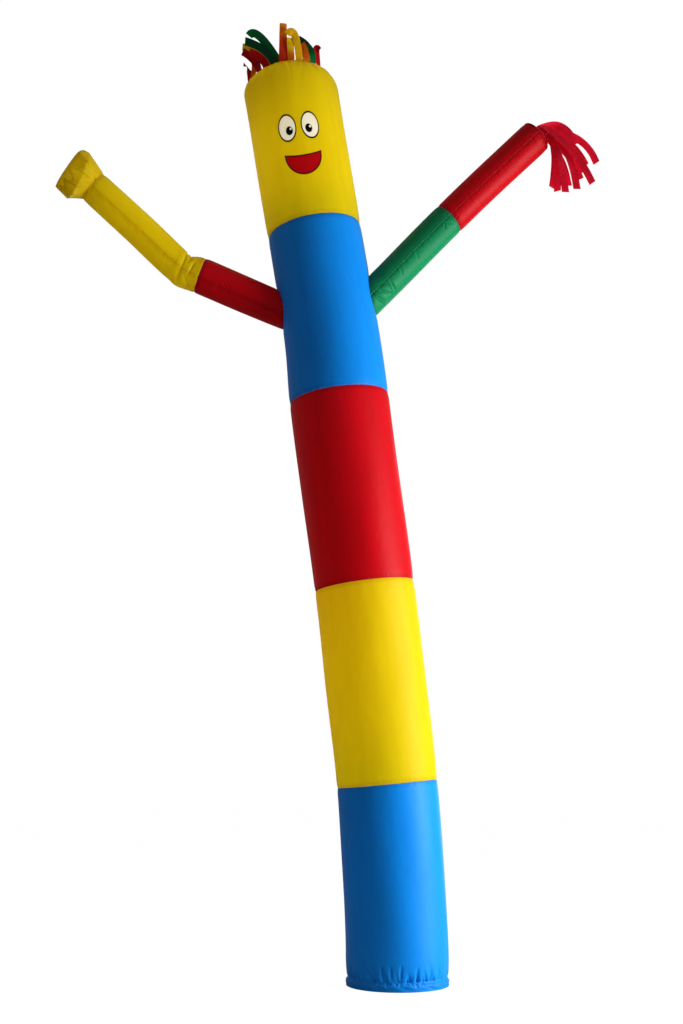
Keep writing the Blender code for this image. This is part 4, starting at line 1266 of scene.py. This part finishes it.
def printed_face(tree, cloth_colour, place):
    """Screen ink on the cloth: a plain face of two oval eyes and a half-moon smile, drawn in metres on the
    cloth itself, so that the weave and the folds run through it."""

    def oval(x, y, size):
        """The distance outside an oval, nearly in metres."""
        off = add(tree, "ShaderNodeVectorMath", {"operation": "SUBTRACT"}, _0=place, _1=(x, y, 0.0))
        off = add(tree, "ShaderNodeVectorMath", {"operation": "DIVIDE"}, _0=off.outputs[0], _1=(*size, 1.0))
        far = add(tree, "ShaderNodeVectorMath", {"operation": "LENGTH"}, _0=off.outputs[0])
        return add(tree, "ShaderNodeMath", {"operation": "MULTIPLY_ADD"},
                   _0=far.outputs["Value"], _1=min(size), _2=-min(size)).outputs[0]

    def ink(colour, distance, hex_colour, outline=0.0):
        """Ink up to an edge, or past it by the width of an outline."""
        share = add(tree, "ShaderNodeMapRange",
                    Value=distance, _1=outline + PRINT_EDGE, _2=outline - PRINT_EDGE)
        return add(tree, "ShaderNodeMix", {"data_type": "RGBA"},
                   _0=share.outputs[0], _6=colour, _7=linear(hex_colour)).outputs[2]

    colour = cloth_colour
    for side in (-1, 1):
        eye = oval(side * EYE_APART, EYE_HEIGHT, EYE_SIZE)
        colour = ink(colour, eye, INK_BLACK, OUTLINE)
        colour = ink(colour, eye, INK_WHITE)
        pupil = (side * (EYE_APART - PUPIL_IN), EYE_HEIGHT - PUPIL_DOWN)
        colour = ink(colour, oval(*pupil, PUPIL_SIZE), INK_BLACK)
        colour = ink(colour, oval(pupil[0] + GLINT_UP, pupil[1] + GLINT_UP, GLINT_SIZE), INK_WHITE)
    bowl = oval(0.0, SMILE_HEIGHT, SMILE_SIZE)
    # The smile ends at its upper lip, a bow that sags in its middle
    axes = add(tree, "ShaderNodeSeparateXYZ", Vector=place).outputs
    squared = add(tree, "ShaderNodeMath", {"operation": "MULTIPLY"}, _0=axes["X"], _1=axes["X"])
    bow = add(tree, "ShaderNodeMath", {"operation": "MULTIPLY_ADD"},
              _0=squared.outputs[0], _1=-SMILE_SAG / SMILE_SIZE[0] ** 2, _2=axes["Y"])
    above_lip = add(tree, "ShaderNodeMath", {"operation": "SUBTRACT"},
                    _0=bow.outputs[0], _1=SMILE_HEIGHT - SMILE_SAG)
    smile = add(tree, "ShaderNodeMath", {"operation": "MAXIMUM"}, _0=bowl, _1=above_lip.outputs[0]).outputs[0]
    colour = ink(colour, smile, INK_BLACK, OUTLINE)
    return ink(colour, smile, INK_RED)


def thread(name, hex_colour):
    """Spun polyester sewing thread, twisted from two plies, which gives it a dull, slightly hairy surface."""
    made, tree = new_material(name)
    place = add(tree, "ShaderNodeTexCoord").outputs["Object"]
    plies = add(tree, "ShaderNodeTexNoise", Vector=place, Scale=900.0, Detail=2.0)
    bright = linear(hex_colour)
    dark = (*[c * 0.55 for c in bright[:3]], 1.0)
    shade = add(tree, "ShaderNodeMix", {"data_type": "RGBA"}, _0=plies.outputs["Fac"], _6=bright, _7=dark)
    shader = add(tree, "ShaderNodeBsdfPrincipled", Base_Color=shade.outputs[2], Roughness=0.7)
    shader.inputs["Sheen Weight"].default_value = 0.3
    add(tree, "ShaderNodeOutputMaterial", Surface=shader.outputs[0])
    return made


INK_BLACK = "#141210"
INK_WHITE = "#f6f4ee"
INK_RED = "#c9101c"

# Each satin: its colour, its deeper colour for its streaks and for the painted shade of doubled seam cloth,
# and the share of light that comes through it
SATIN_COLUMNS = ("bright", "deep", "glow")
SATINS = {
    "blue": ("#038ae8", "#0177d0", 0.12),
    "yellow": ("#e9da10", "#ddc505", 0.6),
    "red": ("#d80518", "#ba0212", 0.4),
    "green": ("#0f8f58", "#067446", 0.2),
}
satins = {name: nylon(f"{name}_nylon_satin", **entry(SATIN_COLUMNS, row)) for name, row in SATINS.items()}
satins["head"] = nylon("yellow_nylon_satin_with_printed_face", *SATINS["yellow"], printed=True)
# The cuff is of the forearm's yellow cloth, painted a little brighter: painted light for the back light
# shining through it
satins["cuff"] = nylon("yellow_nylon_satin_cuff_painted_brighter", "#f0dc14", "#dec20a", 0.62)
satins["fringe"] = nylon("red_nylon_fringe", "#fa1c40", "#d00e2a", glow=0.38, rough=0.36)

# Each ribbon finish: its colour, its deeper colour for its uneven streaks, and its tip's colour, if that is
# another, with the distance from the root where it starts
RIBBON_COLUMNS = ("bright", "deep", "ribbon_tip", "tip_from")
RIBBONS = {
    "red": ("#d81420", "#9c0410", None, 0.0),
    "orange": ("#f48612", "#dc6606", None, 0.0),
    "yellow": ("#fad414", "#e6b408", None, 0.0),
    "green": ("#0c9048", "#046a34", None, 0.0),
    "dark_green": ("#0a5c38", "#043c22", None, 0.0),
    "red_to_orange": ("#f2481e", "#d43018", "#f89c1c", 0.078),
    "orange_to_yellow": ("#f08414", "#e06a0a", "#f8dc18", 0.018),
    "yellow_glow": ("#fabc10", "#f0a00a", "#fbe018", 0.03),
}
SHADED_RIBBONS = {5: "yellow_glow", 9: "red_to_orange", 10: "orange_to_yellow"}
ribbons = {
    name: nylon(f"{name}_ribbon_nylon", glow=0.5, rough=0.34, **entry(RIBBON_COLUMNS, row))
    for name, row in RIBBONS.items()
}

THREADS = {"blue": "#0668bc", "yellow": "#d9bb14", "red": "#ac0818", "green": "#0b6e44"}
threads = {name: thread(f"{name}_polyester_thread", colour) for name, colour in THREADS.items()}

base = base_panel()
yellow = tube_panel("yellow_panel", "yellow", BASE_SEAM, LOWER_SEAM, 22)
red = tube_panel("red_panel", "red", LOWER_SEAM, MIDDLE_SEAM, 23)
blue = tube_panel(
    "blue_panel", "blue", MIDDLE_SEAM, NECK_SEAM, 24, BLUE_CREASES,
    holes=[(LEFT_ARM, LEFT_UPPER[0][1]), (RIGHT_ARM, RIGHT_UPPER[0][1])],
)
head = head_panel()
top = head_top()
left_upper = sleeve(
    "left_upper_sleeve", "red", LEFT_ARM, LEFT_UPPER, -123, RED_SLEEVE_CREASES, 31, on_body=True
)
right_upper = sleeve(
    "right_upper_sleeve", "green", RIGHT_ARM, RIGHT_UPPER, 102, GREEN_SLEEVE_CREASES, 32, on_body=True
)
left_forearm = sleeve("left_forearm_sleeve", "yellow", LEFT_ARM, LEFT_FOREARM, -118, ELBOW_CREASES, 33)
right_forearm = sleeve("right_forearm_sleeve", "red", RIGHT_ARM, RIGHT_FOREARM, 104, (), 34)
cuff = left_cuff()
hand = right_hand_end()
fringe = hand_fringe()
hair = head_ribbons()


def stitch_tree():
    """Lays a small capsule of thread along each path, one for every stitch."""
    tree = bpy.data.node_groups.new("stitches", "GeometryNodeTree")
    face = tree.interface
    face.new_socket("Path", in_out="INPUT", socket_type="NodeSocketGeometry")
    for name in ("Pitch", "Length", "Thickness"):
        face.new_socket(name, in_out="INPUT", socket_type="NodeSocketFloat")
    face.new_socket("Thread", in_out="INPUT", socket_type="NodeSocketMaterial")
    face.new_socket("Stitches", in_out="OUTPUT", socket_type="NodeSocketGeometry")
    given = add(tree, "NodeGroupInput").outputs
    curve = add(tree, "GeometryNodeMeshToCurve", Mesh=given["Path"])
    even = add(tree, "GeometryNodeResampleCurve", {"mode": "LENGTH"},
               Curve=curve.outputs[0], Length=given["Pitch"])
    tangent = add(tree, "GeometryNodeInputTangent")
    out = add(tree, "GeometryNodeInputNamedAttribute", {"data_type": "FLOAT_VECTOR"}, Name="outwards")
    along = add(tree, "FunctionNodeAlignRotationToVector", {"axis": "X"}, Vector=tangent.outputs[0])
    lying = add(tree, "FunctionNodeAlignRotationToVector", {"axis": "Z", "pivot_axis": "X"},
                Rotation=along.outputs[0], Vector=out.outputs[0])
    bead = add(tree, "GeometryNodeMeshIcoSphere", Radius=0.5, Subdivisions=1)
    size = add(tree, "ShaderNodeCombineXYZ", X=given["Length"], Y=given["Thickness"], Z=given["Thickness"])
    laid = add(tree, "GeometryNodeInstanceOnPoints", Points=even.outputs[0], Instance=bead.outputs["Mesh"],
               Rotation=lying.outputs[0], Scale=size.outputs[0])
    real = add(tree, "GeometryNodeRealizeInstances", Geometry=laid.outputs[0])
    smooth_faces = add(tree, "GeometryNodeSetShadeSmooth", Geometry=real.outputs[0])
    coloured = add(tree, "GeometryNodeSetMaterial",
                   Geometry=smooth_faces.outputs[0], Material=given["Thread"])
    add(tree, "NodeGroupOutput", Stitches=coloured.outputs[0])
    return tree


STITCH_SIZES = {"Pitch": 0.0036, "Length": 0.0026, "Thickness": 0.0004}
STITCH_LIFT = 0.0001


def stitches(tree, colour):
    """All the stitches of one colour of thread, as one plain mesh."""
    points, edges, normals = [], [], []
    first = 0
    for path in seam_paths:
        if path["colour"] != colour:
            continue
        count = len(path["points"])
        points.append(path["points"] + path["normals"] * STITCH_LIFT)
        normals.append(path["normals"])
        runs = count if path["closed"] else count - 1
        edges += [(first + i, first + (i + 1) % count) for i in range(runs)]
        first += count
    mesh = bpy.data.meshes.new(f"{colour}_stitches")
    mesh.from_pydata(np.concatenate(points), edges, [])
    outwards = mesh.attributes.new("outwards", "FLOAT_VECTOR", "POINT")
    outwards.data.foreach_set("vector", np.concatenate(normals).astype(np.float32).ravel())
    piece = bpy.data.objects.new(f"{colour}_stitches", mesh)
    bpy.context.scene.collection.objects.link(piece)
    maker = piece.modifiers.new("stitches", "NODES")
    maker.node_group = tree
    sockets = {s.name: s.identifier for s in tree.interface.items_tree if s.in_out == "INPUT"}
    for name, size in STITCH_SIZES.items():
        maker[sockets[name]] = size
    maker[sockets["Thread"]] = threads[colour]
    seen = piece.evaluated_get(bpy.context.evaluated_depsgraph_get())
    plain = bpy.data.meshes.new_from_object(seen)
    piece.modifiers.clear()
    piece.data = plain
    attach(piece, BODY)
    return piece


sewing = stitch_tree()
for colour in THREADS:
    stitches(sewing, colour)


def studio():
    scene = bpy.context.scene
    lens = bpy.data.cameras.new("camera")
    lens.sensor_width = SENSOR
    lens.lens = FOCAL_PIXELS / IMAGE_HEIGHT * SENSOR
    lens.shift_y = CAMERA_SHIFT
    lens.clip_end = 100.0
    camera = bpy.data.objects.new("camera", lens)
    camera.location = CAMERA_AT
    camera.rotation_euler = (CAMERA_PITCH, 0.0, 0.0)
    scene.collection.objects.link(camera)
    scene.camera = camera
    scene.view_settings.view_transform = "Standard"

    sky = bpy.data.worlds.new("studio")
    scene.world = sky
    sky.use_nodes = True
    tree = sky.node_tree
    tree.nodes.clear()
    seen = add(tree, "ShaderNodeLightPath").outputs["Is Camera Ray"]
    soft = add(tree, "ShaderNodeBackground", Color=(1.0, 1.0, 1.0, 1.0), Strength=FILL)
    white = add(tree, "ShaderNodeBackground", Color=(1.0, 1.0, 1.0, 1.0), Strength=1.0)
    both = add(tree, "ShaderNodeMixShader", _0=seen, _1=soft.outputs[0], _2=white.outputs[0])
    add(tree, "ShaderNodeOutputWorld", Surface=both.outputs[0])

    for light in named(LIGHT_COLUMNS, LIGHTS):
        lamp = bpy.data.lights.new(light["name"], "AREA")
        lamp.shape = "RECTANGLE"
        lamp.size, lamp.size_y = light["width"], light["height"]
        lamp.energy = light["watts"]
        shown = bpy.data.objects.new(light["name"], lamp)
        azimuth, far = math.radians(light["azimuth"]), light["far"]
        middle = np.array(STUDIO_MIDDLE)
        at = middle + np.array((far * math.sin(azimuth), -far * math.cos(azimuth), light["z"] - middle[2]))
        shown.location = at
        shown.rotation_euler = (math.atan2(far, light["z"] - light["aim_z"]), 0.0, azimuth)
        scene.collection.objects.link(shown)

    for row in named(INNER_COLUMNS, INNER_LIGHTS):
        for number in range(row["count"]):
            at = row["from"] + (row["to"] - row["from"]) * (number + 0.5) / row["count"]
            lamp = bpy.data.lights.new(f"inside_{row['name']}_{number}", "POINT")
            lamp.energy = row["watts"]
            lamp.shadow_soft_size = row["radius"]
            shown = bpy.data.objects.new(lamp.name, lamp)
            shown.location = tube_centre(at) if row["line"] is None else arm_point(row["line"], at)
            scene.collection.objects.link(shown)

    bare = bmesh.new()
    corners = ((-1, -1), (1, -1), (1, 1), (-1, 1))
    bare.faces.new([bare.verts.new((x * FLOOR_SIZE, y * FLOOR_SIZE, 0.0)) for x, y in corners])
    mesh = bpy.data.meshes.new("studio_floor")
    bare.to_mesh(mesh)
    bare.free()
    mesh.materials.append(floor_paint())
    floor = bpy.data.objects.new("studio_floor", mesh)
    scene.collection.objects.link(floor)


def floor_paint():
    """Matt white studio paint. What the camera sees of it is lit up to white, as a light table is."""
    made, tree = new_material("matt_white_floor")
    seen = add(tree, "ShaderNodeLightPath").outputs["Is Camera Ray"]
    paint = add(tree, "ShaderNodeBsdfDiffuse", Color=linear("#a8a8a8"))
    shadow = add(tree, "ShaderNodeBsdfDiffuse", Color=linear("#404040"))
    lit = add(tree, "ShaderNodeEmission", Color=(1.0, 1.0, 1.0, 1.0), Strength=0.98)
    table = add(tree, "ShaderNodeAddShader", _0=shadow.outputs[0], _1=lit.outputs[0])
    both = add(tree, "ShaderNodeMixShader", _0=seen, _1=paint.outputs[0], _2=table.outputs[0])
    add(tree, "ShaderNodeOutputMaterial", Surface=both.outputs[0])
    return made


FILL = 0.28
FLOOR_SIZE = 40.0
STUDIO_MIDDLE = (-0.17, 0.0, 1.3)
LIGHT_COLUMNS = ("name", "azimuth", "far", "z", "aim_z", "width", "height", "watts")
LIGHTS = (
    ("key", 74, 3.2, 1.0, -0.5, 2.0, 2.2, 200),
    ("back", 165, 3.0, 1.2, 1.3, 2.4, 3.0, 40),
)
# Light that passes right through thin cloth and comes out on the shaded side, as lamps inside the tubes
INNER_COLUMNS = ("name", "line", "from", "to", "count", "radius", "watts")
INNER_LIGHTS = (
    ("tube", None, 0.12, 2.25, 14, 0.09, 0.42),
    ("head", None, 2.38, 2.72, 3, 0.09, 0.55),
    ("left_sleeve", LEFT_ARM, 0.05, 0.26, 3, 0.03, 0.035),
    ("left_forearm", LEFT_ARM, 0.29, 0.66, 6, 0.03, 0.052),
    ("left_hand", LEFT_ARM, 0.70, 0.74, 1, 0.03, 0.045),
    ("right_arm", RIGHT_ARM, 0.06, 0.69, 9, 0.03, 0.035),
)
studio()
